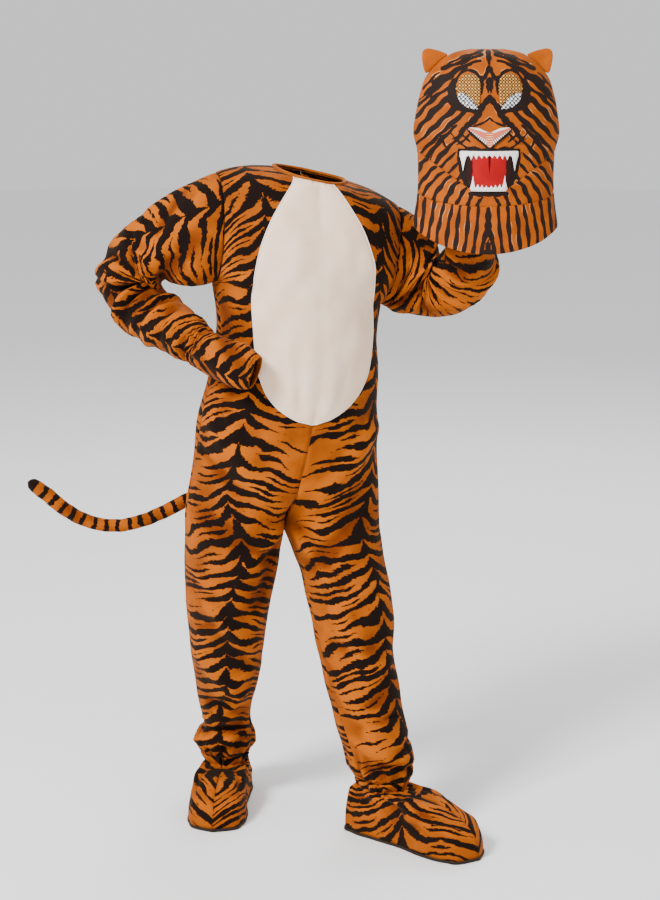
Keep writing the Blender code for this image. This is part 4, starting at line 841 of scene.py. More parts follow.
def tube(points, radius, sides=6):
    """A bmesh tube along a line of points."""
    points = np.array(points, dtype=float)
    tangents = unit(np.gradient(points, axis=0))
    shape = bmesh.new()
    up = np.array([0.0, 0.3, 1.0])
    rings = []
    for point, tangent in zip(points, tangents):
        up = unit(up - tangent * float(up @ tangent))
        beside = np.cross(tangent, up)
        ring = []
        for s in range(sides):
            angle = 2 * math.pi * s / sides
            ring.append(shape.verts.new(point + (up * math.cos(angle) + beside * math.sin(angle)) * radius))
        rings.append(ring)
    for first, second in zip(rings, rings[1:]):
        for s in range(sides):
            n = (s + 1) % sides
            shape.faces.new((first[s], first[n], second[n], second[s]))
    shape.faces.new(rings[0][::-1])
    shape.faces.new(rings[-1])
    bmesh.ops.recalc_face_normals(shape, faces=shape.faces)
    return shape


def plain_cloth(name, deep, light, roughness=0.85, sheen=0.25, bump=0.0005):
    """One colour of short-pile cloth with a soft change of shade."""
    material, tree, shader, _, shade = cloth_material(name, roughness, sheen, bump)
    colour = mixed(tree, step_between(tree, shade, -0.35, 0.30), deep, light)
    tree.links.new(colour, shader.inputs["Base Color"])
    return material


_, _, CHEST_FACING = torso_axes(np.array(-0.200))
CHEST_MIDDLE = (-0.02, 0.0, -0.20)
belly_part = np.linspace(0.0, 1.0, BELLY_ROWS + 1)
belly_heights = BELLY_TOP - BELLY_LENGTH * (1 - np.cos(belly_part * np.pi)) / 2
belly_sides = np.sin(np.linspace(-1.0, 1.0, BELLY_COLUMNS + 1) * np.pi / 2)
belly_height, belly_side = np.meshgrid(belly_heights, belly_sides, indexing="ij")
belly_rounding = np.sqrt(np.clip((belly_height - BELLY_END) / BELLY_ROUNDING, 0.02, 1.0))
belly_half = BELLY.read("half_width", belly_height) * belly_rounding
belly_across = belly_side * belly_half
belly_rim = np.minimum(2 * BELLY_TOP - belly_height, belly_height - BELLY_END)
belly_rim = np.minimum(belly_half - np.abs(belly_across), belly_rim)
belly_lift = BELLY_LIFT + BELLY_PUFF * (1 - np.exp(-np.clip(belly_rim, 0.0, 1.0) / 0.004))
for across_at, top, bottom, drift, rise, half in BELLY_FOLDS:
    part = np.clip((top - belly_height) / (top - bottom), 0.0, 1.0)
    centre = across_at + drift * part
    strength = np.sin(np.pi * part) ** 0.7
    belly_lift = belly_lift + rise * strength * np.exp(-((belly_across - centre) / half) ** 2)
# The top edge follows the neckline just below it, and rows under it close up towards it.
FRONT_TREE = tree_of([GRIDS["right", "front"], GRIDS["left", "front"]])
front_neck = np.concatenate([GRIDS["right", "front"][0][::-1], GRIDS["left", "front"][0]])
front_neck = front_neck[np.argsort(front_neck[:, 0])]
top_points = torso_point(belly_across[0], np.full(BELLY_COLUMNS + 1, IN_FRONT), belly_heights[:1])
top_drop = np.interp(top_points[:, 0], front_neck[:, 0], front_neck[:, 2]) - NECK_TUCK - top_points[:, 2]
closeness = 1 + (belly_height - belly_heights[0]) / BELLY_LENGTH
belly_height = belly_height + np.minimum(top_drop, 0.0)[None, :] * closeness
belly_points = torso_point(belly_across, np.full_like(belly_across, IN_FRONT), belly_height)
belly_grid = seated(FRONT_TREE, belly_points, -CHEST_FACING, np.maximum(belly_lift, LEAST_LIFT))
# A point that fell through a seam is brought level with the points round it.
belly_depth = belly_grid @ CHEST_FACING
padded = np.pad(belly_depth, 2, mode="edge")
windows = [padded[r:r + BELLY_ROWS + 1, c:c + BELLY_COLUMNS + 1] for r in range(5) for c in range(5)]
belly_step = np.median(windows, axis=0) - belly_depth
belly_step = np.where(np.abs(belly_step) > STRAY_STEP, belly_step, 0.0)
belly_grid = belly_grid + belly_step[..., None] * CHEST_FACING
belly_uv = np.stack([belly_across, -belly_height], axis=-1)
belly = cloth("plush_belly", belly_grid, np.repeat([CHEST_MIDDLE], BELLY_ROWS + 1, axis=0), belly_uv,
              plain_cloth("cream_plush", CREAM_DEEP, CREAM_LIGHT), thickness=LAID_THICKNESS)
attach(belly, "root")
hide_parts("belly_panel")
rim = np.concatenate([belly_grid[:, 0], belly_grid[::-1, -1]])
rim_shape = tube(rim + CHEST_FACING * 0.0003, THREAD_RADIUS)
thread = plain_cloth("pale_thread", THREAD_DEEP, THREAD_LIGHT, bump=0.0002)
stitching = join("belly_edge_stitching", rim_shape, thread)
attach(stitching, "root")


# Back placket: a plain strip of the plush over the closure, sewn down the centre back.
PLACKET_TOP = -0.002
PLACKET_BOTTOM = -0.360
PLACKET_HALF_WIDTH = 0.014
PLACKET_ROWS = 70
PLACKET_COLUMNS = 9
placket_heights = np.linspace(PLACKET_TOP, PLACKET_BOTTOM, PLACKET_ROWS)
placket_sides = np.linspace(-1.0, 1.0, PLACKET_COLUMNS)
placket_height, placket_side = np.meshgrid(placket_heights, placket_sides, indexing="ij")
placket_across = placket_side * PLACKET_HALF_WIDTH
placket_lift = 0.0008 + 0.0016 * np.sqrt(np.clip(1 - placket_side ** 2, 0.0, 1.0))
BACK_TREE = tree_of([GRIDS["right", "back"], GRIDS["left", "back"]])
placket_points = torso_point(placket_across, np.full_like(placket_across, -IN_FRONT), placket_height)
placket_grid = seated(BACK_TREE, placket_points, CHEST_FACING, placket_lift)
placket_uv = np.stack([placket_across + 0.02, -placket_height], axis=-1)
placket = cloth("plush_placket", placket_grid, np.repeat([CHEST_MIDDLE], PLACKET_ROWS, axis=0),
                placket_uv, printed_plush("plush_placket", 21.0), thickness=LAID_THICKNESS)
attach(placket, "root")
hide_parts("back_placket")


# Neck binding: a narrow bound edge of the orange cloth, folded over the neckline and sewn.
NECK_ROW = int(round(NECK_PART * SHOULDER_ROWS))
BINDING_RADIUS = 0.0022
BINDING_HALF_HEIGHT = 0.0034
BINDING_ROWS = 9
BINDING_THICKNESS = 0.0008
BINDING_DEEP = (0.20, 0.040, 0.001, 1.0)
BINDING_LIGHT = (0.38, 0.090, 0.002, 1.0)
neck_edges = [
    GRIDS["right", "back"][:NECK_ROW + 1, 0][::-1],
    GRIDS["right", "front"][1:NECK_ROW + 1, 0],
    GRIDS["left", "front"][:NECK_ROW, 0][::-1],
    GRIDS["left", "back"][1:NECK_ROW, 0],
]
neck_line = np.concatenate(neck_edges)
neck_inward = neck_line.mean(axis=0) - neck_line
neck_inward[:, 2] = 0.0
neck_inward = unit(neck_inward)
neck_rows = []
for turn in np.linspace(-0.30, 1.0, BINDING_ROWS) * np.pi:
    rise = np.array([0.0, 0.0, 0.0010 + BINDING_HALF_HEIGHT * math.sin(turn)])
    neck_rows.append(neck_line + neck_inward * (0.0014 - BINDING_RADIUS * math.cos(turn)) + rise)
neck_grid = np.array(neck_rows)
neck_whole = closed(neck_grid)
neck_uv = np.stack([run_lengths(neck_whole, 1), run_lengths(neck_whole, 0)], axis=-1)
binding = cloth("neck_binding_cloth", neck_grid, np.repeat([[0.0, 0.0, -0.03]], BINDING_ROWS, axis=0),
                neck_uv, plain_cloth("binding_cloth", BINDING_DEEP, BINDING_LIGHT),
                wraps=True, thickness=BINDING_THICKNESS)
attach(binding, "root")
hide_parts("neck_binding")


# Sleeves: one piece each, set into the armhole, strongly creased at the elbow and
# gathered on elastic at the wrist.
SLEEVE_COLUMNS = ("ring", "x", "y", "z", "half_up", "half_front")
SLEEVE = {
    "right": [
        (1, -0.160, -0.047, -0.080, 0.070, 0.054),
        (2, -0.186, -0.042, -0.090, 0.062, 0.054),
        (3, -0.211, -0.034, -0.099, 0.055, 0.052),
        (4, -0.236, -0.024, -0.110, 0.050, 0.049),
        (5, -0.257, -0.015, -0.130, 0.047, 0.047),
        (6, -0.262, -0.013, -0.158, 0.045, 0.045),
        (7, -0.251, -0.020, -0.184, 0.042, 0.043),
        (8, -0.229, -0.032, -0.202, 0.040, 0.041),
        (9, -0.207, -0.047, -0.214, 0.037, 0.038),
        (10, -0.185, -0.062, -0.226, 0.035, 0.035),
        (11, -0.166, -0.076, -0.236, 0.031, 0.031),
        (12, -0.156, -0.084, -0.242, 0.0265, 0.027),
        (13, -0.150, -0.089, -0.245, 0.0285, 0.029),
    ],
    "left": [
        (1, 0.134, 0.051, -0.130, 0.070, 0.054),
        (2, 0.146, 0.0535, -0.142, 0.065, 0.054),
        (3, 0.157, 0.0550, -0.154, 0.060, 0.053),
        (4, 0.177, 0.0541, -0.165, 0.050, 0.049),
        (5, 0.199, 0.0465, -0.168, 0.046, 0.046),
        (6, 0.217, 0.0340, -0.161, 0.043, 0.043),
        (7, 0.229, 0.0180, -0.147, 0.040, 0.040),
        (8, 0.234, 0.0010, -0.127, 0.038, 0.038),
        (9, 0.238, -0.0215, -0.106, 0.0335, 0.0335),
        (10, 0.242, -0.0365, -0.078, 0.0315, 0.0315),
        (11, 0.2465, -0.0450, -0.048, 0.030, 0.030),
        (12, 0.249, -0.050, -0.030, 0.026, 0.026),
        (13, 0.250, -0.051, -0.021, 0.028, 0.028),
    ],
}
ARMHOLE_SIZE = {"right": (0.078, 0.048), "left": (0.076, 0.048)}
LAST_MARK = 13.0
WRIST_MARK = 12.0
ROUND_FROM_MARK = 3.467
SLEEVE_RINGS = 96
BEND_ROOM = 0.86
SLEEVE_FOLD_GAIN = 2.0
WRIST_PLEAT_DEPTH = 0.0022
ARM_PRINT_SCALE = 1.35
SLEEVE_SEED = {"right": 31.0, "left": 37.0}
TUBE_FOLDS = {
    "right": [
        # along, around, slant, half length, half angle, rise
        (0.16, 75.0, 40.0, 0.13, 22.0, 0.0070), (0.22, 130.0, 55.0, 0.12, 20.0, -0.0070),
        (0.20, 20.0, 30.0, 0.12, 20.0, 0.0060), (0.30, 250.0, -40.0, 0.12, 24.0, 0.0060),
        (0.40, 60.0, -70.0, 0.07, 26.0, 0.0060), (0.47, 100.0, -80.0, 0.05, 26.0, -0.0060),
        (0.53, 70.0, -80.0, 0.05, 30.0, 0.0060), (0.64, 110.0, 60.0, 0.05, 34.0, -0.0050),
        (0.70, 60.0, 60.0, 0.05, 34.0, 0.0050), (0.78, 120.0, 60.0, 0.04, 36.0, 0.0045),
        (0.86, 50.0, -50.0, 0.04, 36.0, -0.0040), (0.75, 250.0, 50.0, 0.06, 34.0, 0.0050),
        (0.13, 60.0, 60.0, 0.10, 9.0, -0.0040), (0.24, 105.0, -60.0, 0.09, 9.0, 0.0042),
        (0.28, 52.0, 65.0, 0.07, 10.0, -0.0040), (0.21, 80.0, -45.0, 0.10, 8.0, 0.0036),
        (0.46, 62.0, 70.0, 0.035, 24.0, -0.0040), (0.54, 100.0, -60.0, 0.022, 40.0, -0.0036),
        (0.12, 100.0, 30.0, 0.09, 11.0, -0.0045), (0.18, 50.0, 45.0, 0.10, 12.0, -0.0045),
        (0.26, 95.0, 60.0, 0.08, 12.0, 0.0045), (0.33, 130.0, 70.0, 0.05, 14.0, 0.0045),
        (0.36, 80.0, -60.0, 0.035, 30.0, -0.0045), (0.43, 90.0, -60.0, 0.028, 34.0, 0.0045),
        (0.50, 120.0, -50.0, 0.026, 36.0, 0.0042), (0.58, 90.0, 50.0, 0.026, 40.0, -0.0040),
        (0.61, 60.0, 50.0, 0.024, 44.0, 0.0036), (0.67, 100.0, 60.0, 0.022, 40.0, 0.0034),
        (0.73, 90.0, -50.0, 0.020, 46.0, -0.0034), (0.82, 80.0, 40.0, 0.020, 50.0, 0.0034),
        (0.90, 100.0, -40.0, 0.018, 60.0, 0.0030), (0.40, 300.0, 50.0, 0.05, 30.0, 0.0040),
        (0.55, 270.0, -50.0, 0.04, 34.0, -0.0036), (0.66, 220.0, 50.0, 0.03, 40.0, 0.0036),
    ],
    "left": [
        (0.14, 100.0, -60.0, 0.14, 20.0, 0.0080), (0.20, 140.0, -60.0, 0.12, 20.0, -0.0070),
        (0.26, 60.0, 50.0, 0.11, 20.0, 0.0070), (0.24, 260.0, 40.0, 0.12, 24.0, 0.0060),
        (0.40, 80.0, 60.0, 0.07, 24.0, -0.0060), (0.46, 120.0, 80.0, 0.06, 26.0, 0.0060),
        (0.56, 60.0, -60.0, 0.06, 28.0, 0.0050), (0.64, 110.0, 50.0, 0.05, 32.0, -0.0045),
        (0.60, 240.0, 50.0, 0.06, 32.0, 0.0050), (0.76, 60.0, 50.0, 0.05, 34.0, 0.0040),
        (0.13, 120.0, 50.0, 0.10, 9.0, 0.0040), (0.25, 85.0, -70.0, 0.09, 9.0, -0.0042),
        (0.33, 110.0, -60.0, 0.06, 10.0, 0.0040), (0.40, 60.0, 70.0, 0.05, 12.0, -0.0040),
        (0.53, 75.0, 60.0, 0.030, 26.0, 0.0036), (0.63, 95.0, -50.0, 0.022, 36.0, -0.0032),
        (0.10, 60.0, -30.0, 0.09, 12.0, -0.0045), (0.17, 80.0, -50.0, 0.09, 12.0, -0.0045),
        (0.22, 110.0, -60.0, 0.08, 12.0, 0.0045), (0.30, 100.0, 60.0, 0.06, 14.0, -0.0045),
        (0.35, 60.0, 60.0, 0.04, 22.0, 0.0040), (0.43, 100.0, 50.0, 0.03, 26.0, 0.0040),
        (0.50, 90.0, -60.0, 0.03, 30.0, -0.0038), (0.58, 110.0, 40.0, 0.025, 34.0, 0.0032),
        (0.68, 80.0, -50.0, 0.022, 40.0, 0.0032), (0.74, 120.0, 50.0, 0.020, 44.0, -0.0028),
        (0.30, 300.0, 50.0, 0.06, 26.0, 0.0040), (0.45, 280.0, -50.0, 0.04, 32.0, -0.0036),
    ],
}


def carried_axes(centres, up, facing):
    """Tangents along a route, with up and ahead directions carried along it without twist."""
    tangents = unit(np.gradient(centres, axis=0))
    ups, aheads = [], []
    for tangent in tangents:
        up = unit(up - tangent * float(up @ tangent))
        ahead = np.cross(tangent, up)
        if float(ahead @ facing) < 0:
            ahead = -ahead
        facing = ahead
        ups.append(up)
        aheads.append(ahead)
    return tangents, np.array(ups), np.array(aheads)


def tube_fold(side, along, angle):
    """How far a sleeve stands out at a place, from its table of folds."""
    total = np.zeros(np.broadcast(along, angle).shape)
    degrees = np.degrees(angle)
    for at, around, slant, half_length, half_angle, rise in TUBE_FOLDS[side]:
        off = along - at
        turn = (degrees - around - slant * off / half_length + 180.0) % 360.0 - 180.0
        near = np.exp(-(off / half_length) ** 2 - 1.5 * (turn / half_angle) ** 2)
        total = total + SLEEVE_FOLD_GAIN * rise * near
    return total


SLEEVE_ENDS = {}


def make_sleeve(side):
    """One sleeve, from the armhole's own edge to the gathered wrist."""
    front = GRIDS[side, "front"][:SHOULDER_ROWS + 1, -1]
    back = GRIDS[side, "back"][:SHOULDER_ROWS + 1, -1]
    loop = np.concatenate([front, back[1:-1][::-1]])
    middle = loop.mean(axis=0)
    table = Table(SLEEVE_COLUMNS, [(0, *middle, *ARMHOLE_SIZE[side])] + SLEEVE[side])
    marks = np.linspace(0.0, LAST_MARK, SLEEVE_RINGS)
    centres = np.stack([table.read(axis, marks) for axis in "xyz"], axis=-1)
    up = unit(front[0] - middle)
    facing = unit(front[SHOULDER_ROWS // 2] - middle)
    tangents, ups, aheads = carried_axes(centres, up, facing)
    spans = np.linalg.norm(np.gradient(centres, axis=0), axis=1)
    bends = np.gradient(tangents, axis=0) / spans[:, None]
    for _ in range(6):
        bends[1:-1] = (bends[:-2] + bends[1:-1] * 2 + bends[2:]) / 4
    angles = 2 * np.pi * np.arange(len(loop)) / len(loop)
    mark, angle = np.meshgrid(marks, angles, indexing="ij")
    out = ups[:, None, :] * (np.cos(angle) * table.read("half_up", mark))[..., None]
    out = out + aheads[:, None, :] * (np.sin(angle) * table.read("half_front", mark))[..., None]
    joined = np.clip(mark / ROUND_FROM_MARK, 0.0, 1.0)
    height = tube_fold(side, mark / LAST_MARK, angle) * joined
    reach = np.linalg.norm(out, axis=-1) + height
    pleats = np.sin(angle * 12.0 + 1.2 * np.sin(angle * 3.0)) + 0.5 * np.sin(angle * 19.0 + mark)
    reach = reach + WRIST_PLEAT_DEPTH * np.exp(-(mark - WRIST_MARK) ** 2) * pleats
    inward = (bends[:, None, :] * unit(out)).sum(axis=-1)
    room = np.where(inward > 1e-6, BEND_ROOM / np.maximum(inward, 1e-6), 1.0)
    reach = np.minimum(reach, room)
    round_ring = centres[:, None, :] + unit(out) * reach[..., None]
    sewn_ring = centres[:, None, :] + (loop - middle)[None, :, :]
    rings = sewn_ring * (1 - joined[..., None]) + round_ring * joined[..., None]
    normals = grid_normals(rings, centres, wraps=True)
    first_run = np.linalg.norm(rings - rings[:1], axis=-1)
    rings = rings - normals * (0.0014 * np.exp(-(first_run / 0.004) ** 2))[..., None]
    whole = closed(rings)
    around = run_lengths(whole, 1)
    across = around - around[:, SHOULDER_ROWS // 3][:, None]
    across = np.where(across > around[:, -1:] / 2, across - around[:, -1:], across)
    arm_length = float(run_lengths(centres[:, None, :], 0)[-1, 0])
    down = np.repeat(np.linspace(0.0, arm_length, SLEEVE_RINGS)[:, None], whole.shape[1], axis=1)
    uv = np.stack([between_spines(across), down], axis=-1) * ARM_PRINT_SCALE
    name = "plush_sleeve_" + side
    # The fold heights go into the colour as painted shade: lighter on ridges, darker in troughs.
    thing = cloth(name, rings, centres, uv, printed_plush(name, SLEEVE_SEED[side]), wraps=True,
                  marks=fold_shade_marks(closed(height)))
    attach(thing, "root")
    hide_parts("sleeve_" + side)
    SLEEVE_ENDS[side] = (rings[-1], ups[-1], aheads[-1])


for side_name in ("right", "left"):
    make_sleeve(side_name)


# Hood: printed cloth on thin foam, a face, a jaw and a skirt in front and one back piece,
# sewn at the sides, over the crown and under the mouth, open at the bottom.
HOOD_X = 0.2545
HOOD_Y = -0.050
HOOD_TOP = 0.184
HOOD = Table(("height", "half_width", "half_depth"), [
    (0.1840, 0.022, 0.0010), (0.1800, 0.042, 0.0130), (0.1730, 0.0585, 0.0260),
    (0.1600, 0.0745, 0.0390), (0.1435, 0.0875, 0.0490), (0.1220, 0.0955, 0.0570),
    (0.0910, 0.1020, 0.0610), (0.0630, 0.1050, 0.0620), (0.0400, 0.0995, 0.0600),
    (0.0070, 0.0978, 0.0590), (-0.0245, 0.0988, 0.0600), (-0.0656, 0.1050, 0.0630),
    (-0.1100, 0.1090, 0.0650),
])
MUZZLE_RISE = 0.010
MUZZLE_HEIGHT = 0.030
MUZZLE_HALF_WIDTH = 0.045
MUZZLE_HALF_HEIGHT = 0.042
HOOD_COLUMNS = 150
HOOD_MIDDLE = (HOOD_X, HOOD_Y, 0.05)
HOOD_DEEP = (0.240, 0.043, 0.0004, 1.0)
HOOD_LIGHT = (0.400, 0.084, 0.0008, 1.0)
HOOD_PALE = (0.60, 0.34, 0.15, 1.0)
HOOD_DARK = (0.012, 0.006, 0.005, 1.0)
MOUTH_SEAM_HEIGHT = -0.018
HEM_HEIGHT = -0.066


def hood_point(face, angle, height):
    """A point of the hood; the angle runs from its right side (-90) by the middle to its left side."""
    across = HOOD.read("half_width", height) * np.sin(angle)
    forward = HOOD.read("half_depth", height) * np.cos(angle)
    if face > 0:
        near = (across / MUZZLE_HALF_WIDTH) ** 2 + ((height - MUZZLE_HEIGHT) / MUZZLE_HALF_HEIGHT) ** 2
        forward = forward + MUZZLE_RISE * np.exp(-near)
    return stack(HOOD_X + across, HOOD_Y - face * forward, height)


def crown(angle):
    return np.full_like(angle, HOOD_TOP)


def face_seam(angle):
    """Level under the mouth, then rising to the sides."""
    past = 0.098 * np.abs(np.sin(angle)) - 0.0185
    return MOUTH_SEAM_HEIGHT + 0.35 * (past + np.sqrt(past * past + 0.004 * 0.004))


def jaw_seam(angle):
    return MOUTH_SEAM_HEIGHT - 0.0185 * np.cos(angle)


def front_hem(angle):
    return HEM_HEIGHT - 0.038 * np.clip(np.cos(angle), 0.0, 1.0) ** 1.6


def back_hem(angle):
    return HEM_HEIGHT - 0.016 * np.cos(angle)


FACE_STRIPES = [
    # one side's stripes: start x, z, bend x, z, end x, z (mm), and half widths at start, middle and end
    (7, 181, 26, 176, 47, 165, 1.2, 2.6, 1.0), (9, 175, 34, 166, 66, 158, 1.4, 2.8, 1.6),
    (12, 166, 44, 158, 79, 138, 1.2, 3.2, 1.8), (30, 156, 62, 149, 90, 121, 0.8, 3.0, 1.8),
    (50, 145, 72, 134, 98, 103, 1.0, 3.3, 1.8), (56, 128, 78, 117, 102, 84, 1.4, 3.3, 1.6),
    (56, 115, 78, 99, 103, 66, 2.4, 3.2, 1.4), (48, 103, 72, 84, 104, 47, 2.8, 3.4, 1.4),
    (36, 94, 62, 74, 100, 29, 3.0, 3.0, 1.4), (46, 76, 68, 57, 99, 12, 1.2, 3.2, 1.6),
    (40, 62, 62, 44, 95, 0, 1.0, 2.9, 1.4), (47, 40, 62, 26, 86, 4, 1.0, 2.6, 1.2),
    (44, 24, 54, 10, 74, -4, 1.4, 2.4, 0.8), (38, 8, 48, -6, 60, -12, 1.6, 2.2, 0.6),
    (0, 178, 0, 170, 0, 160, 2.4, 3.4, 0.4), (0, 157, 4, 149, 12, 136, 2.4, 2.4, 0.8),
    (0, 139, 2, 132, 2, 122, 3.4, 3.0, 0.4), (0, 117, 6, 108, 15, 97, 2.8, 2.8, 3.0),
    (15, 97, 16, 88, 30, 78, 3.4, 3.4, 2.6), (30, 78, 38, 72, 44, 60, 2.6, 2.4, 1.4),
    (0, 88, 6, 80, 30, 74, 0.8, 1.4, 0.8), (22, 101, 40, 95, 54, 110, 2.6, 3.6, 2.6),
    (54, 110, 57, 124, 50, 141, 2.8, 3.2, 1.0), (12, 146, 8, 136, 11, 122, 0.8, 1.6, 0.6),
    (28, 66, 36, 54, 46, 50, 0.9, 1.5, 0.6), (34, 72, 40, 62, 52, 58, 0.9, 1.4, 0.6),
    (26, 54, 34, 60, 44, 70, 0.8, 1.3, 0.6), (30, 46, 40, 50, 54, 66, 0.8, 1.4, 0.6),
    (14, 46, 24, 50, 34, 44, 0.6, 1.0, 0.6), (62, 62, 66, 52, 60, 46, 0.8, 1.6, 0.6),
    (12, 122, 10, 140, 19, 150, 1.2, 1.3, 1.6), (19, 150, 33, 157, 45, 142, 1.6, 1.6, 1.6),
    (45, 142, 51, 134, 50, 118, 1.6, 2.4, 3.2), (16, 98, 34, 94, 49, 116, 2.6, 3.4, 3.4),
    (20, 178, 44, 174, 58, 163, 0.6, 1.6, 0.6), (24, 160, 50, 154, 70, 147, 0.5, 1.6, 0.5),
    (70, 152, 84, 142, 92, 128, 0.5, 1.8, 0.8), (66, 136, 86, 126, 99, 110, 0.4, 1.6, 0.6),
    (34, 37, 36, 22, 31, 4, 3.4, 3.6, 3.0),
    (74, 128, 80, 120, 84, 108, 0.4, 1.1, 0.3), (72, 44, 80, 34, 84, 22, 0.4, 1.0, 0.3),
    (0, 43, 10, 44, 42, 43, 1.6, 1.6, 1.8), (42, 43, 43, 26, 36, 8, 1.8, 2.2, 2.4),
    (36, 8, 32, -4, 28, -14, 2.4, 3.0, 3.2), (0, -15, 14, -16, 28, -14, 3.0, 3.0, 3.2),
]
JAW_STRIPES = [
    (0, -17, 14, -20, 26, -18, 3.4, 3.4, 2.0), (8, -24, 14, -30, 16, -38, 0.8, 2.0, 1.6),
    (22, -18, 27, -28, 30, -38, 1.6, 2.4, 1.8), (32, -9, 42, -20, 46, -36, 1.6, 2.6, 1.8),
    (42, -2, 56, -14, 62, -34, 1.6, 2.6, 1.8), (52, 5, 68, -8, 78, -32, 1.6, 2.6, 1.8),
    (63, 12, 82, 0, 93, -28, 1.6, 2.6, 1.8), (75, 20, 89, 8, 99, -14, 1.6, 2.4, 1.6),
    (86, 28, 95, 20, 101, 4, 1.6, 2.2, 1.4),
]
SKIRT_STRIPES = [
    (0, -40, 0, -56, 0, -70, 2.6, 3.4, 3.4), (0, -66, 6, -80, 10, -106, 3.2, 2.2, 1.8),
    (0, -84, 1, -92, 2, -106, 0.4, 1.8, 2.4), (14, -38, 16, -66, 21, -106, 1.4, 2.4, 2.0),
    (27, -38, 29, -62, 34, -102, 1.6, 2.4, 2.0), (39, -36, 43, -60, 47, -98, 1.4, 2.6, 2.0),
    (51, -34, 54, -56, 60, -94, 1.6, 2.4, 1.8), (63, -32, 68, -52, 72, -90, 1.4, 2.4, 1.8),
    (75, -30, 80, -50, 84, -84, 1.4, 2.4, 1.8), (87, -26, 91, -48, 95, -78, 1.4, 2.2, 1.6),
    (97, -24, 100, -44, 103, -72, 1.2, 2.0, 1.4),
]


def stripe_marks(grid, stripes):
    """How far inside a dark stripe each point lies, in millimetres, for stripes mirrored on both sides."""
    x = np.abs(grid[..., 0] - HOOD_X) * 1000.0
    z = grid[..., 2] * 1000.0
    wobble = 1.9 * np.sin(x * 0.085 + z * 0.098) + 0.8 * np.sin(z * 0.23 - x * 0.15 + 1.0)
    wobble = wobble * np.clip((np.hypot(x, z - 45.0) - 44.0) / 22.0, 0.0, 1.0) * np.clip(x / 30.0, 0.0, 1.0)
    marks = np.full(x.shape, -9.0)
    for x0, z0, x1, z1, x2, z2, w0, w1, w2 in stripes:
        for t in np.linspace(0.0, 1.0, 34):
            cx = (1 - t) ** 2 * x0 + 2 * t * (1 - t) * x1 + t * t * x2
            cz = (1 - t) ** 2 * z0 + 2 * t * (1 - t) * z1 + t * t * z2
            half = w0 * (1 - t) ** 2 + 2 * w1 * t * (1 - t) + w2 * t * t
            half = half * (1.38 + 0.26 * np.sin(t * 13.0 + x0 + z0))
            marks = np.maximum(marks, half - np.hypot(x - cx + 0.3 * wobble, z - cz + wobble))
    return marks


def printed_hood(name):
    """Smooth orange cloth with dark stripes and a thin pale line along some of their edges."""
    material, tree, shader, place, shade = cloth_material(name, 0.7, 0.08, 0.00015)
    ground = mixed(tree, step_between(tree, shade, -0.35, 0.30), HOOD_DEEP, HOOD_LIGHT)
    mark = tree.nodes.new("ShaderNodeAttribute")
    mark.attribute_name = "mark"
    value = plus(tree, mark.outputs["Fac"], times(tree, noise(tree, place, 240.0), 0.8))
    near_edge = step_between(tree, value, -1.2, -1.0)
    line = minus(tree, near_edge, step_between(tree, value, -0.8, -0.6))
    patchy = step_between(tree, noise(tree, place, 38.0, 1.0), 0.06, 0.14)
    lined = mixed(tree, times(tree, line, patchy), ground, HOOD_PALE)
    colour = mixed(tree, step_between(tree, value, -0.35, 0.15), lined, HOOD_DARK)
    tree.links.new(colour, shader.inputs["Base Color"])
    return material


def hood_part(name, node, face, top, bottom, rows, stripes):
    """One hood piece between two seams, with seam dips and its own stripes."""
    angles = np.radians(np.linspace(-90.0, 90.0, HOOD_COLUMNS + 1))
    part, angle = np.meshgrid(np.linspace(0.0, 1.0, rows + 1), angles, indexing="ij")
    height = top(angle) + (bottom(angle) - top(angle)) * part ** (1.15 if top is crown else 1.0)
    grid = hood_point(face, angle, height)
    middles = np.repeat([HOOD_MIDDLE], rows + 1, axis=0)
    normals = grid_normals(grid, middles)
    edge = np.minimum(side_distance(grid), run_lengths(grid, 0))
    if bottom not in (front_hem, back_hem):
        edge = np.minimum(edge, run_lengths(grid[::-1], 0)[::-1])
    soft = 0.0011 * np.sin(height * 74.0 + angle * 2.1) * np.sin(angle * 5.3 + height * 31.0 + face)
    dip = 0.0010 * np.exp(-(edge / 0.0022) ** 2)
    grid = grid + normals * (soft * np.clip(edge / 0.02, 0.0, 1.0) - dip)[..., None]
    marks = stripe_marks(grid, stripes)
    around = run_lengths(grid, 1)
    uv = np.stack([around - around[:, HOOD_COLUMNS // 2][:, None], -height], axis=-1)
    thing = cloth(name, grid, middles, uv, printed_hood(name), marks=marks)
    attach(thing, "root")
    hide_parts(node)
    return grid


face_grid = hood_part("hood_face_cloth", "hood_face", 1, crown, face_seam, 110, FACE_STRIPES)
jaw_grid = hood_part("hood_jaw_cloth", "hood_jaw", 1, face_seam, jaw_seam, 20, JAW_STRIPES)
hood_part("hood_skirt_cloth", "hood_skirt", 1, jaw_seam, front_hem, 36, SKIRT_STRIPES)
back_stripes = []
for k in range(15):
    z = 172 - k * 17
    reach = 70 + 8 * math.sin(k * 2.4)
    back_stripes.append((0, z, 30, z - 4 - 3 * (k % 2), reach, z - 20, 4.2, 3.0, 0.6))
    back_stripes.append((104, z - 14, 84, z - 8, 62 - 9 * (k % 3), z - 5, 2.8, 2.4, 0.5))
hood_part("hood_back_cloth", "hood_back", -1, crown, back_hem, 130, back_stripes)


# Ears: plain orange, softly filled, set into the crown's side seams.
EAR_THICKNESS = 0.006
EAR_CUP = 0.0022
EAR_POINTS = 48
EAR_MIDDLE = (0.083, 0.167)
EAR_FOOT_HEIGHTS = (0.1500, 0.1600, 0.1680, 0.1745)
EAR_OUTLINE = [
    (0.0565, 0.1758), (0.0700, 0.1810), (0.0840, 0.1842), (0.0905, 0.1830), (0.0935, 0.1775),
    (0.0935, 0.1680), (0.0910, 0.1560), (0.0885, 0.1480),
]
EAR_DEEP = (0.27, 0.050, 0.0006, 1.0)
EAR_LIGHT = (0.42, 0.090, 0.0010, 1.0)


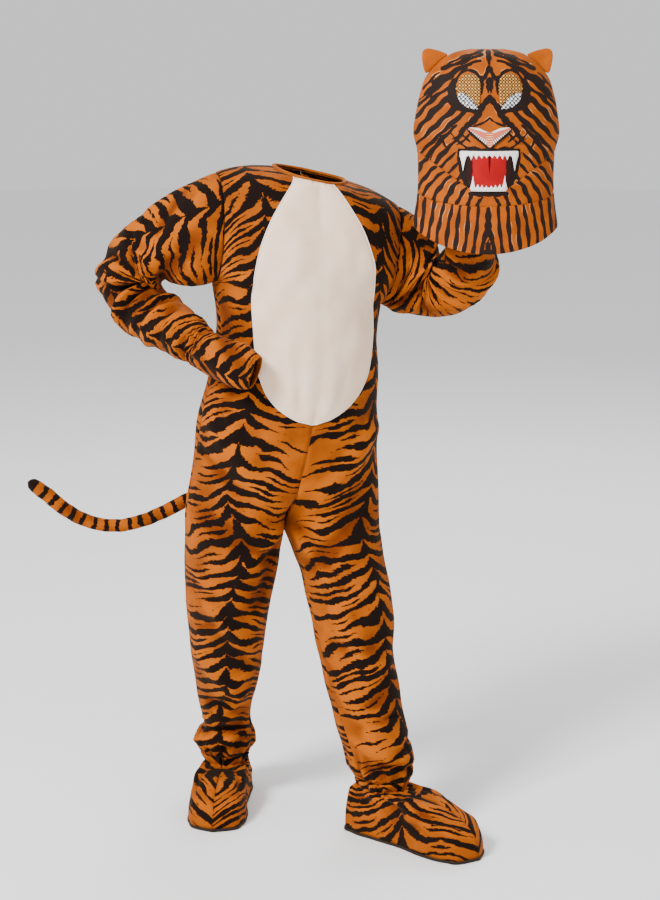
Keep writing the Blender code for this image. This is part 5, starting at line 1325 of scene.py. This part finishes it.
def ear_outline():
    """The ear's rounded outline, evenly spaced, its foot along the hood's side."""
    foot = [(float(HOOD.read("half_width", h)) - 0.0004, h) for h in EAR_FOOT_HEIGHTS]
    corners = np.array(EAR_OUTLINE + foot + EAR_OUTLINE[:1])
    runs = run_lengths(corners[:, None, :], 0)[:, 0]
    at = np.linspace(0.0, runs[-1], EAR_POINTS + 1)[:-1]
    outline = np.stack([np.interp(at, runs, corners[:, 0]), np.interp(at, runs, corners[:, 1])], axis=-1)
    for _ in range(2):
        outline = (np.roll(outline, 1, axis=0) + outline * 2 + np.roll(outline, -1, axis=0)) / 4
    return outline


def make_ear(side):
    sign = 1 if side == "left" else -1
    outline = ear_outline()
    middle = np.array(EAR_MIDDLE)
    scales = np.sin(np.linspace(0.0, 1.0, 10) * np.pi / 2)
    rings = []
    for face in (1, -1):
        for scale in (scales if face > 0 else scales[::-1][1:]):
            depth = math.sqrt(max(1 - scale * scale, 0.0)) * EAR_THICKNESS / 2 * face
            cup = EAR_CUP * (1 - scale) if face > 0 else 0.0
            flat = middle + (outline - middle) * scale
            rings.append(stack(HOOD_X + sign * flat[:, 0], HOOD_Y - depth + cup, flat[:, 1]))
    grid = np.array(rings)
    uv = closed(grid)[..., [0, 2]]
    centre = (HOOD_X + sign * middle[0], HOOD_Y, middle[1])
    thing = cloth("hood_ear_soft_" + side, grid, np.repeat([centre], len(rings), axis=0), uv,
                  plain_cloth("ear_cloth_" + side, EAR_DEEP, EAR_LIGHT, bump=0.0003), wraps=True)
    thing.modifiers.clear()
    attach(thing, "root")
    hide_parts("hood_ear_" + side)


for side_name in ("right", "left"):
    make_ear(side_name)


# Face pieces: eye mesh under tan mesh lids, a pink nose, a red mouth and white teeth,
# each cut out and sewn flat on the face.
FACE_TREE = tree_of([face_grid, jaw_grid])
PIECE_THICKNESS = 0.0006
MARK_BLACK = (0.012, 0.006, 0.005, 1.0)


def band_grid(top, bottom, columns, rows, lift, puff):
    """A piece laid on the face between a top and a bottom line, both given as (x, z) points."""
    top, bottom = np.array(top), np.array(bottom)
    x = np.linspace(top[0, 0], top[-1, 0], columns + 1)
    high = np.interp(x, top[:, 0], top[:, 1])
    low = np.interp(x, bottom[:, 0], bottom[:, 1])
    part = np.linspace(0.0, 1.0, rows + 1)[:, None]
    height = high[None, :] + (low - high)[None, :] * part
    x = np.repeat(x[None, :], rows + 1, axis=0)
    side = np.minimum(x - x[:, :1], x[:, -1:] - x)
    middle = np.minimum(np.minimum(high[None, :] - height, height - low[None, :]), side)
    rise = lift + puff * (1 - np.exp(-np.clip(middle, 0.0, 1.0) / 0.0018))
    points = stack(HOOD_X + x, HOOD_Y - IN_FRONT, height)
    grid = seated(FACE_TREE, points, (0.0, 1.0, 0.0), rise)
    return grid, np.stack([x, height], axis=-1)


def face_piece(name, node, lines, columns, rows, lift, puff, material):
    """One sewn-on piece between its top and bottom lines."""
    grid, uv = band_grid(*lines, columns, rows, lift, puff)
    thing = cloth(name, grid, np.repeat([HOOD_MIDDLE], rows + 1, axis=0), uv, material,
                  thickness=PIECE_THICKNESS)
    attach(thing, "root")
    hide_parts(node)


def both_sides(half):
    """A line given from the middle to the wearer's left, completed with its mirror image."""
    return [(-x, z) for x, z in half[::-1] if x > 0.0] + half


def mirror_line(line, sign):
    """A line on the wearer's left, or the same on the right, always from low x to high x."""
    points = [(sign * x, z) for x, z in line]
    return points if sign > 0 else points[::-1]


EYE_TOP = [(0.0165, 0.1040), (0.0190, 0.1060), (0.0260, 0.1150), (0.0360, 0.1225), (0.0450, 0.1235)]
EYE_BOTTOM = [(0.0165, 0.1000), (0.0240, 0.1000), (0.0330, 0.1030), (0.0410, 0.1090), (0.0450, 0.1170)]
LID_TOP = [(0.0125, 0.1340), (0.0150, 0.1430), (0.0200, 0.1475), (0.0270, 0.1500), (0.0360, 0.1480),
           (0.0430, 0.1400), (0.0475, 0.1280)]
LID_BOTTOM = [(0.0125, 0.1240), (0.0140, 0.1060), (0.0160, 0.1040), (0.0180, 0.1060), (0.0262, 0.1150),
              (0.0358, 0.1222), (0.0440, 0.1232), (0.0475, 0.1265)]


def mesh_cloth(name, ground, thread, dark, pitch):
    """A woven mesh: crossed threads with dark holes between them."""
    material, tree, shader, place, _ = cloth_material(name, 0.75, 0.1, 0.0002)
    x, y = parts_of(tree, place)
    wobble = times(tree, noise(tree, place, 160.0, 1.0), 2.4)
    turns = 0.7 * 2 * math.pi / pitch
    one = plus(tree, times(tree, plus(tree, x, y), turns), wobble)
    two = plus(tree, times(tree, minus(tree, x, y), turns), wobble)
    weave = times(tree, number(tree, "SINE", one), number(tree, "SINE", two))
    woven = mixed(tree, step_between(tree, weave, -0.2, 0.2), ground, thread)
    holes = step_between(tree, number(tree, "ABSOLUTE", weave), 0.22, 0.50)
    tree.links.new(mixed(tree, holes, dark, woven), shader.inputs["Base Color"])
    return material


EYE_MESH = mesh_cloth("eye_mesh", (0.55, 0.57, 0.60, 1.0), (0.86, 0.86, 0.84, 1.0),
                      (0.006, 0.006, 0.006, 1.0), 0.0080)
LID_MESH = mesh_cloth("lid_mesh", (0.36, 0.15, 0.03, 1.0), (0.62, 0.34, 0.10, 1.0),
                      (0.040, 0.012, 0.003, 1.0), 0.0062)
for sign, side_name in ((-1, "right"), (1, "left")):
    eye_lines = (mirror_line(EYE_TOP, sign), mirror_line(EYE_BOTTOM, sign))
    face_piece("eye_mesh_" + side_name, "hood_eye_" + side_name, eye_lines,
               22, 10, 0.0006, 0.0008, EYE_MESH)
    lid_lines = (mirror_line(LID_TOP, sign), mirror_line(LID_BOTTOM, sign))
    face_piece("lid_mesh_" + side_name, "hood_eyelid_" + side_name, lid_lines,
               30, 22, 0.0010, 0.0014, LID_MESH)

NOSE_TOP = both_sides([(0.0, 0.0680), (0.0060, 0.0700), (0.0150, 0.0740), (0.0270, 0.0750), (0.0320, 0.0725)])
NOSE_BOTTOM = both_sides([(0.0, 0.0425), (0.0030, 0.0435), (0.0090, 0.0500), (0.0180, 0.0570),
                          (0.0270, 0.0640), (0.0320, 0.0715)])
NOSE_PINK = (0.56, 0.13, 0.075, 1.0)
NOSE_RED = (0.13, 0.008, 0.004, 1.0)
NOSE_WHITE = (0.86, 0.74, 0.66, 1.0)
COLUMN_PALE = (0.74, 0.40, 0.26, 1.0)
COLUMN_DEEP = (0.46, 0.080, 0.018, 1.0)


def make_nose_cloth():
    """Printed nose: pink lobes over a hatched part, a pale top rim, a rungs column, a dark lower edge."""
    material, tree, shader, place, _ = cloth_material("nose_cloth", 0.6, 0.1, 0.0002)
    x, height = parts_of(tree, place)
    beside = number(tree, "ABSOLUTE", x)
    upward = plus(tree, height, times(tree, noise(tree, place, 90.0, 1.0), 0.0010))
    lobe = minus(tree, upward, times(tree, beside, 0.62))
    hatch = number(tree, "SINE", times(tree, plus(tree, beside, times(tree, upward, 0.62)), 1650.0))
    hatched = mixed(tree, step_between(tree, hatch, -0.40, 0.10), NOSE_RED, NOSE_WHITE)
    colour = mixed(tree, step_between(tree, lobe, 0.0535, 0.0545), hatched, NOSE_PINK)
    rim_run = minus(tree, upward, times(tree, beside, 0.30))
    colour = mixed(tree, step_between(tree, rim_run, 0.0655, 0.0665), colour, NOSE_WHITE)
    rungs = number(tree, "SINE", times(tree, upward, 1900.0))
    column = mixed(tree, step_between(tree, rungs, -0.4, 0.2), COLUMN_PALE, COLUMN_DEEP)
    colour = mixed(tree, step_between(tree, beside, 0.0040, 0.0050), column, colour)
    above_edge = minus(tree, height, plus(tree, times(tree, beside, 0.86), 0.0435))
    colour = mixed(tree, step_between(tree, above_edge, 0.0036, 0.0026), colour, MARK_BLACK)
    tree.links.new(colour, shader.inputs["Base Color"])
    return material


face_piece("nose_cloth", "hood_nose", (NOSE_TOP, NOSE_BOTTOM),
           56, 20, 0.0008, 0.0028, make_nose_cloth())

MOUTH_TOP = both_sides([(0.0310, 0.0360)])
MOUTH_BOTTOM = both_sides([(0.0, -0.0120), (0.0200, -0.0110), (0.0260, -0.0060), (0.0310, 0.0060)])
MOUTH_DEEP = (0.28, 0.0006, 0.003, 1.0)
MOUTH_RED = (0.40, 0.0008, 0.005, 1.0)
MOUTH_DARK = (0.020, 0.004, 0.004, 1.0)


def make_mouth_cloth():
    """Printed red mouth with a dark slit at the top of its tongue and dark corners."""
    material, tree, shader, place, shade = cloth_material("mouth_cloth", 0.55, 0.1, 0.0002)
    x, height = parts_of(tree, place)
    beside = number(tree, "ABSOLUTE", x)
    slit = minus(tree, times(tree, step_between(tree, height, 0.004, 0.030), 0.0016), beside)
    inner = plus(tree, beside, times(tree, noise(tree, place, 120.0), 0.006))
    red = mixed(tree, step_between(tree, shade, -0.3, 0.3), MOUTH_DEEP, MOUTH_RED)
    red = mixed(tree, step_between(tree, inner, 0.0225, 0.0245), red, MOUTH_DARK)
    red = mixed(tree, step_between(tree, slit, -0.0001, 0.0002), red, MOUTH_DARK)
    tree.links.new(red, shader.inputs["Base Color"])
    return material


face_piece("mouth_cloth", "hood_mouth", (MOUTH_TOP, MOUTH_BOTTOM),
           40, 26, 0.0006, 0.0006, make_mouth_cloth())


def tooth_line(base, half_tips, width):
    """A gum line broken by pointed teeth, given on the wearer's left as (x, z, half width)."""
    points = []
    for x, z, half in [(-x, z, half) for x, z, half in half_tips[::-1]] + half_tips:
        waist = base(x) + (z - base(x)) * 0.45
        points += [(x - half, base(x - half)), (x - half * 0.45, waist), (x, z),
                   (x + half * 0.45, waist), (x + half, base(x + half))]
    return [(-width, base(width))] + points + [(width, base(width))]


def upper_gum(x):
    return 0.0355 if abs(x) < 0.030 else 0.0340


def lower_gum(x):
    return -0.0095


UPPER_TIPS = [(0.0040, 0.0318, 0.0028), (0.0110, 0.0310, 0.0030), (0.0185, 0.0295, 0.0030),
              (0.0255, 0.0285, 0.0030), (0.0365, 0.0120, 0.0045)]
LOWER_TIPS = [(0.0035, -0.0062, 0.0022), (0.0095, -0.0050, 0.0024), (0.0155, -0.0040, 0.0026),
              (0.0225, 0.0090, 0.0036)]
UPPER_TOP = both_sides([(0.0400, 0.0420), (0.0415, 0.0405)])
LOWER_BOTTOM = both_sides([(0.0240, -0.0150), (0.0265, -0.0120)])
TEETH = plain_cloth("teeth_cloth", (0.74, 0.71, 0.67, 1.0), (0.88, 0.87, 0.85, 1.0), 0.6, 0.1, 0.0001)
face_piece("upper_teeth", "hood_teeth_upper", (UPPER_TOP, tooth_line(upper_gum, UPPER_TIPS, 0.0415)),
           150, 10, 0.0014, 0.0016, TEETH)
face_piece("lower_teeth", "hood_teeth_lower",
           (tooth_line(lower_gum, LOWER_TIPS, 0.0265), LOWER_BOTTOM),
           110, 10, 0.0014, 0.0016, TEETH)


# Hand covers: the same plush past the wrist gathers, open at the far end. The left one
# stands inside the hood and carries it.
PAW_COLUMNS = ("ring", "x", "y", "z", "half_up", "half_front")
PAW = {
    "right": Table(PAW_COLUMNS, [
        (0, -0.150, -0.089, -0.2450, 0.0285, 0.029),
        (1, -0.138, -0.098, -0.2500, 0.0305, 0.030),
        (2, -0.120, -0.110, -0.2570, 0.0330, 0.028),
        (3, -0.102, -0.121, -0.2630, 0.0330, 0.024),
        (4, -0.086, -0.128, -0.2680, 0.0290, 0.019),
        (5, -0.076, -0.132, -0.2710, 0.0240, 0.015),
    ]),
    "left": Table(PAW_COLUMNS, [
        (0, 0.250, -0.051, -0.0210, 0.028, 0.028),
        (1, 0.251, -0.056, -0.0080, 0.031, 0.029),
        (2, 0.252, -0.063, 0.0120, 0.035, 0.027),
        (3, 0.253, -0.071, 0.0340, 0.036, 0.025),
        (4, 0.254, -0.078, 0.0560, 0.034, 0.023),
        (5, 0.254, -0.082, 0.0720, 0.030, 0.020),
    ]),
}


PAW_RINGS = 30
PAW_SEED = {"right": 41.0, "left": 43.0}


def make_paw(side):
    """One hand cover, going on from the sleeve's last ring."""
    table = PAW[side]
    end_ring, up, facing = SLEEVE_ENDS[side]
    end_middle = end_ring.mean(axis=0)
    marks = np.linspace(0.0, 5.0, PAW_RINGS)
    centres = np.stack([table.read(axis, marks) for axis in "xyz"], axis=-1)
    centres[0] = end_middle
    _, ups, aheads = carried_axes(centres, up, facing)
    angles = 2 * np.pi * np.arange(len(end_ring)) / len(end_ring)
    mark, angle = np.meshgrid(marks, angles, indexing="ij")
    out = ups[:, None, :] * (np.cos(angle) * table.read("half_up", mark))[..., None]
    out = out + aheads[:, None, :] * (np.sin(angle) * table.read("half_front", mark))[..., None]
    pleats = np.sin(angle * 12.0 + 1.2 * np.sin(angle * 3.0)) * 0.0014 * np.exp(-(mark / 1.1) ** 2)
    folds = 0.0018 * np.sin(angle * 3.0 + mark * 1.7) * np.sin(np.pi * mark / 5.0)
    out = out * (1 + (pleats + folds) / np.linalg.norm(out, axis=-1))[..., None]
    joined = np.clip(mark / 3.0, 0.0, 1.0)[..., None]
    rings = centres[:, None, :] + out * joined + (end_ring - end_middle)[None, :, :] * (1 - joined)
    whole = closed(rings)
    across = run_lengths(whole, 1)
    across = across - across[:, SHOULDER_ROWS // 3][:, None]
    down = np.repeat(np.linspace(0.0, 0.1, PAW_RINGS)[:, None], whole.shape[1], axis=1)
    uv = np.stack([across, down], axis=-1) * ARM_PRINT_SCALE
    name = "plush_paw_" + side
    # The fold waves, doubled, go into the colour as painted shade: lighter on ridges, darker in troughs.
    thing = cloth(name, rings, centres, uv, printed_plush(name, PAW_SEED[side]), wraps=True,
                  marks=fold_shade_marks(2.0 * closed(folds)))
    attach(thing, "root")
    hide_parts("paw_" + side)


for side_name in ("right", "left"):
    make_paw(side_name)


# Tail: a stuffed plush tube sewn to the seat, ringed with stripes, black at its rounded tip.
TAIL_ROUTE = Table(("mark", "x", "y", "z", "radius"), [
    (0, -0.0640, 0.1165, -0.4500, 0.0115),
    (1, -0.0780, 0.1340, -0.4580, 0.0112),
    (2, -0.1150, 0.1380, -0.4780, 0.0110),
    (3, -0.1560, 0.1180, -0.4950, 0.0108),
    (4, -0.1950, 0.0960, -0.5080, 0.0106),
    (5, -0.2340, 0.0900, -0.5270, 0.0103),
    (6, -0.2700, 0.0880, -0.5400, 0.0100),
    (7, -0.3050, 0.0860, -0.5450, 0.0100),
    (8, -0.3430, 0.0840, -0.5380, 0.0102),
    (9, -0.3770, 0.0820, -0.5200, 0.0108),
    (10, -0.4050, 0.0800, -0.4960, 0.0112),
    (11, -0.4260, 0.0800, -0.4800, 0.0100),
    (12, -0.4360, 0.0800, -0.4745, 0.0050),
])
TAIL_RINGS = 150
TAIL_SIDES = 28
TAIL_END = 12.0
TIP_MARK = 11.3
TIP_RUN = (0.425, 0.428)
RING_PERIOD = 0.0185
tail_marks = np.linspace(-0.25, TAIL_END, TAIL_RINGS)
tail_centres = np.stack([TAIL_ROUTE.read(axis, tail_marks) for axis in "xyz"], axis=-1)
tail_centres[0] = (-0.0615, 0.1085, -0.4490)
tail_centres[1] = (-0.0625, 0.1125, -0.4494)
_, tail_ups, tail_sides = carried_axes(tail_centres, np.array([0.0, 0.0, 1.0]), np.array([0.0, -1.0, 0.0]))
tail_angles = 2 * np.pi * np.arange(TAIL_SIDES) / TAIL_SIDES
tail_mark, tail_angle = np.meshgrid(tail_marks, tail_angles, indexing="ij")
tip_part = 1.35 * np.sqrt(np.clip((TAIL_END - tail_mark) / (TAIL_END - TIP_MARK), 0.0, 1.0))
tip_part = np.where(tail_mark > TIP_MARK, tip_part, 1.0).clip(0.02, 1.0)
tail_radius = TAIL_ROUTE.read("radius", tail_mark) * tip_part
tail_radius = tail_radius + 0.00045 * np.sin(tail_mark * 8.3) * np.sin(tail_angle + tail_mark * 2.0)
tail_out = tail_ups[:, None, :] * np.cos(tail_angle)[..., None]
tail_out = tail_out + tail_sides[:, None, :] * np.sin(tail_angle)[..., None]
tail_grid = tail_centres[:, None, :] + tail_out * tail_radius[..., None]
tail_run = np.repeat(run_lengths(tail_centres[:, None, :], 0), TAIL_SIDES + 1, axis=1)
tail_uv = np.stack([run_lengths(closed(tail_grid), 1) - 0.03, tail_run], axis=-1)


def make_ringed_plush():
    """Orange plush with ragged dark rings and a black tip, over the tail's run."""
    material, tree, shader, place, shade = cloth_material("plush_tail")
    run = parts_of(tree, place)[1]
    waved = plus(tree, run, times(tree, noise(tree, place, 70.0), 0.010))
    wave = number(tree, "SINE", times(tree, waved, 2 * math.pi / RING_PERIOD))
    wave = plus(tree, wave, times(tree, noise(tree, place, 380.0), 1.6))
    ground = mixed(tree, step_between(tree, shade, -0.35, 0.30), PLUSH_DEEP, PLUSH_LIGHT)
    dark = number(tree, "MAXIMUM", step_between(tree, wave, 0.20, 0.35), step_between(tree, run, *TIP_RUN))
    tree.links.new(mixed(tree, dark, ground, PLUSH_DARK), shader.inputs["Base Color"])
    return material


tail = cloth("plush_tail", tail_grid, tail_centres, tail_uv, make_ringed_plush(), wraps=True)
tail.modifiers.clear()
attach(tail, "root")
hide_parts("tail")


# Boot covers: two plush halves each, sewn over the instep and down the heel, with a ruffled
# elastic top and a thin dark non-slip sole.
FLOOR = -0.994
BOOT = {
    "right": {"heel": (-0.1240, 0.190), "toe": (-0.1500, -0.050), "top": -0.9205},
    "left": {"heel": (0.0600, -0.010), "toe": (0.2500, -0.165), "top": -0.9055},
}
SOLE_THICKNESS = 0.0040
SOLE_MARGIN = 0.0015
SOLE_BEVEL = 0.0012
SOLE_DEEP = (0.010, 0.008, 0.007, 1.0)
SOLE_LIGHT = (0.022, 0.017, 0.015, 1.0)
RUFFLE_DEPTH = 0.014
RUFFLE_ROWS = 8
BOOT_ROWS = 45
BOOT_COLUMNS = 60
ELASTIC_PULL = 0.0045
BOOT_FOLD_GAIN = 1.6
BOOT_PRINT_SCALE = 1.1
BOOT_SEED = {
    ("right", "inner"): 51.0, ("right", "outer"): 54.0, ("left", "inner"): 57.0, ("left", "outer"): 60.0,
}
FOOT_OUTLINE = Table(("along", "inner", "outer"), [
    (0.000, 0.000, 0.000), (0.030, 0.0185, 0.0185), (0.120, 0.0300, 0.0300),
    (0.300, 0.0335, 0.0350), (0.500, 0.0350, 0.0420), (0.700, 0.0430, 0.0470),
    (0.860, 0.0405, 0.0410), (0.960, 0.0260, 0.0240), (1.000, 0.000, 0.000),
])
BOOT_FOLDS = [
    # part round from toe to heel, part down, half part, half down, rise
    (0.10, 0.30, 0.10, 0.10, 0.0030), (0.24, 0.42, 0.07, 0.16, -0.0028), (0.34, 0.30, 0.06, 0.18, 0.0030),
    (0.47, 0.46, 0.06, 0.14, -0.0026), (0.58, 0.34, 0.07, 0.16, 0.0028), (0.72, 0.48, 0.07, 0.14, -0.0024),
    (0.84, 0.36, 0.07, 0.16, 0.0026), (0.16, 0.66, 0.10, 0.08, 0.0020), (0.42, 0.72, 0.12, 0.07, -0.0018),
    (0.66, 0.70, 0.10, 0.08, 0.0020),
]


def foot_frame(side, which):
    """The heel's place, the direction ahead, the foot's length and the direction out to one side."""
    heel, toe = np.array(BOOT[side]["heel"]), np.array(BOOT[side]["toe"])
    forward = unit(toe - heel)
    outward = np.array([-forward[1], forward[0]]) * (1 if side == "left" else -1)
    return heel, forward, float(np.linalg.norm(toe - heel)), -outward if which == "inner" else outward


def foot_edge(side, which, part, margin=0.0):
    """The sole's edge from the toe (part 0) round one side to the heel (part 1)."""
    heel, forward, length, outward = foot_frame(side, which)
    along = (1 + np.cos(np.pi * part)) / 2
    width = FOOT_OUTLINE.read(which, along) + np.where((part > 0) & (part < 1), margin, 0.0)
    return heel + forward * (along * (length + 2 * margin) - margin)[..., None] + outward * width[..., None]


def boot_top(side, which, part, grow):
    """The top ring, the trouser hem's own ring, from its front round one side to its back."""
    table = LEG[side]
    hem = table.rows[0, 0]
    _, forward, _, outward = foot_frame(side, which)
    middle = np.array([table.read("x", hem), table.read("y", hem)])
    across = (table.read("half_width", hem) + grow) * np.sin(np.pi * part)
    ahead = (table.read("half_depth", hem) + grow) * np.cos(np.pi * part)
    return middle + outward * across[..., None] + forward * ahead[..., None]


def boot_rows(side, which, part):
    """Rows of points of a boot half: the ruffled elastic top, then the upper down to the sole."""
    top = BOOT[side]["top"]
    base = FLOOR + SOLE_THICKNESS
    gather = top - RUFFLE_DEPTH
    ruffle = np.sin(part * np.pi * 11 + 0.8 * np.sin(part * 9))
    rows = []
    for depth in np.linspace(0.0, 1.0, RUFFLE_ROWS + 1)[:-1]:
        ripple = 0.0016 * (1 - depth) * ruffle + 0.0006 * np.sin(part * np.pi * 23)
        line = boot_top(side, which, part, 0.0015 - 0.0060 * depth ** 1.5 + ripple)
        rows.append(np.insert(line, 2, top + (gather - top) * depth, axis=1))
    start = boot_top(side, which, part, np.full(BOOT_COLUMNS + 1, -ELASTIC_PULL))
    end = foot_edge(side, which, part)
    for turn in np.linspace(0.0, 1.0, BOOT_ROWS + 1) * np.pi / 2:
        line = start + (end - start) * math.sin(turn) ** 0.85
        drop = 1 - max(math.cos(turn), 0.0) ** 0.75
        rows.append(np.insert(line, 2, gather + (base - gather) * drop, axis=1))
    return np.array(rows)


def make_boot_half(side, which):
    """One half of a boot cover, with folds, elastic pleats, seam dips, its print and painted shade from the
    folds, pleats and seam dips.
    """
    part = np.linspace(0.0, 1.0, BOOT_COLUMNS + 1)
    grid = boot_rows(side, which, part)
    middles = grid[:, [0, -1]].mean(axis=1) - np.array([0.0, 0.0, 0.02])
    normals = grid_normals(grid, middles)
    down = np.clip((np.arange(grid.shape[0]) - RUFFLE_ROWS) / BOOT_ROWS, 0.0, 1.0)[:, None]
    height = 0.0
    for at, low, half, half_down, rise in BOOT_FOLDS:
        near = np.exp(-((part[None, :] - at) / half) ** 2 - ((down - low) / half_down) ** 2)
        height = height + BOOT_FOLD_GAIN * rise * near
    pleats = np.sin(part * np.pi * 15 + 1.3 * np.sin(part * 7)) * 0.0017
    height = height + pleats[None, :] * np.exp(-((down - 0.10) / 0.16) ** 2)
    height = height * np.clip((1 - down) / 0.15, 0.0, 1.0) * np.sin(np.pi * part)[None, :] ** 0.4
    height = height - 0.0014 * np.exp(-(side_distance(grid) / 0.0030) ** 2)
    grid = grid + normals * height[..., None]
    heel, forward, _, outward = foot_frame(side, which)
    ahead = (grid[..., :2] - heel) @ forward
    fall = 0.85 * np.abs((grid[..., :2] - heel) @ outward) - grid[..., 2]
    uv = np.stack([between_spines(ahead + 0.02), fall + 0.30 * ahead], axis=-1) * BOOT_PRINT_SCALE
    name = "plush_boot_" + side + "_" + which
    plush = printed_plush(name, BOOT_SEED[side, which])
    # The fold, pleat and seam-dip heights go into the colour as painted shade: lighter on ridges, darker in
    # troughs and along the seams.
    thing = cloth(name, grid, middles, uv, plush, marks=fold_shade_marks(height))
    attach(thing, "root")
    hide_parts("boot_" + side + "_upper_" + which)


def make_sole(side):
    """One flat sole, its rims rounded."""
    ahead = foot_edge(side, "outer", np.linspace(0.0, 1.0, 49), SOLE_MARGIN)
    backward = foot_edge(side, "inner", np.linspace(1.0, 0.0, 49)[1:-1], SOLE_MARGIN)
    shape = bmesh.new()
    plate = shape.faces.new([shape.verts.new((x, y, FLOOR)) for x, y in np.concatenate([ahead, backward])])
    raised = bmesh.ops.extrude_face_region(shape, geom=[plate])
    lifted = [v for v in raised["geom"] if isinstance(v, bmesh.types.BMVert)]
    bmesh.ops.translate(shape, verts=lifted, vec=(0.0, 0.0, SOLE_THICKNESS))
    bmesh.ops.recalc_face_normals(shape, faces=shape.faces)
    rims = [e for e in shape.edges if abs(e.verts[0].co.z - e.verts[1].co.z) < 1e-6]
    bmesh.ops.bevel(shape, geom=rims, offset=SOLE_BEVEL, segments=2, profile=0.5, affect="EDGES",
                    material=-1)
    thing = join("sole_" + side, shape, plain_cloth("sole_cloth_" + side, SOLE_DEEP, SOLE_LIGHT))
    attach(thing, "root")
    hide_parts("boot_" + side + "_sole")


for side_name in ("right", "left"):
    make_sole(side_name)
    make_boot_half(side_name, "inner")
    make_boot_half(side_name, "outer")
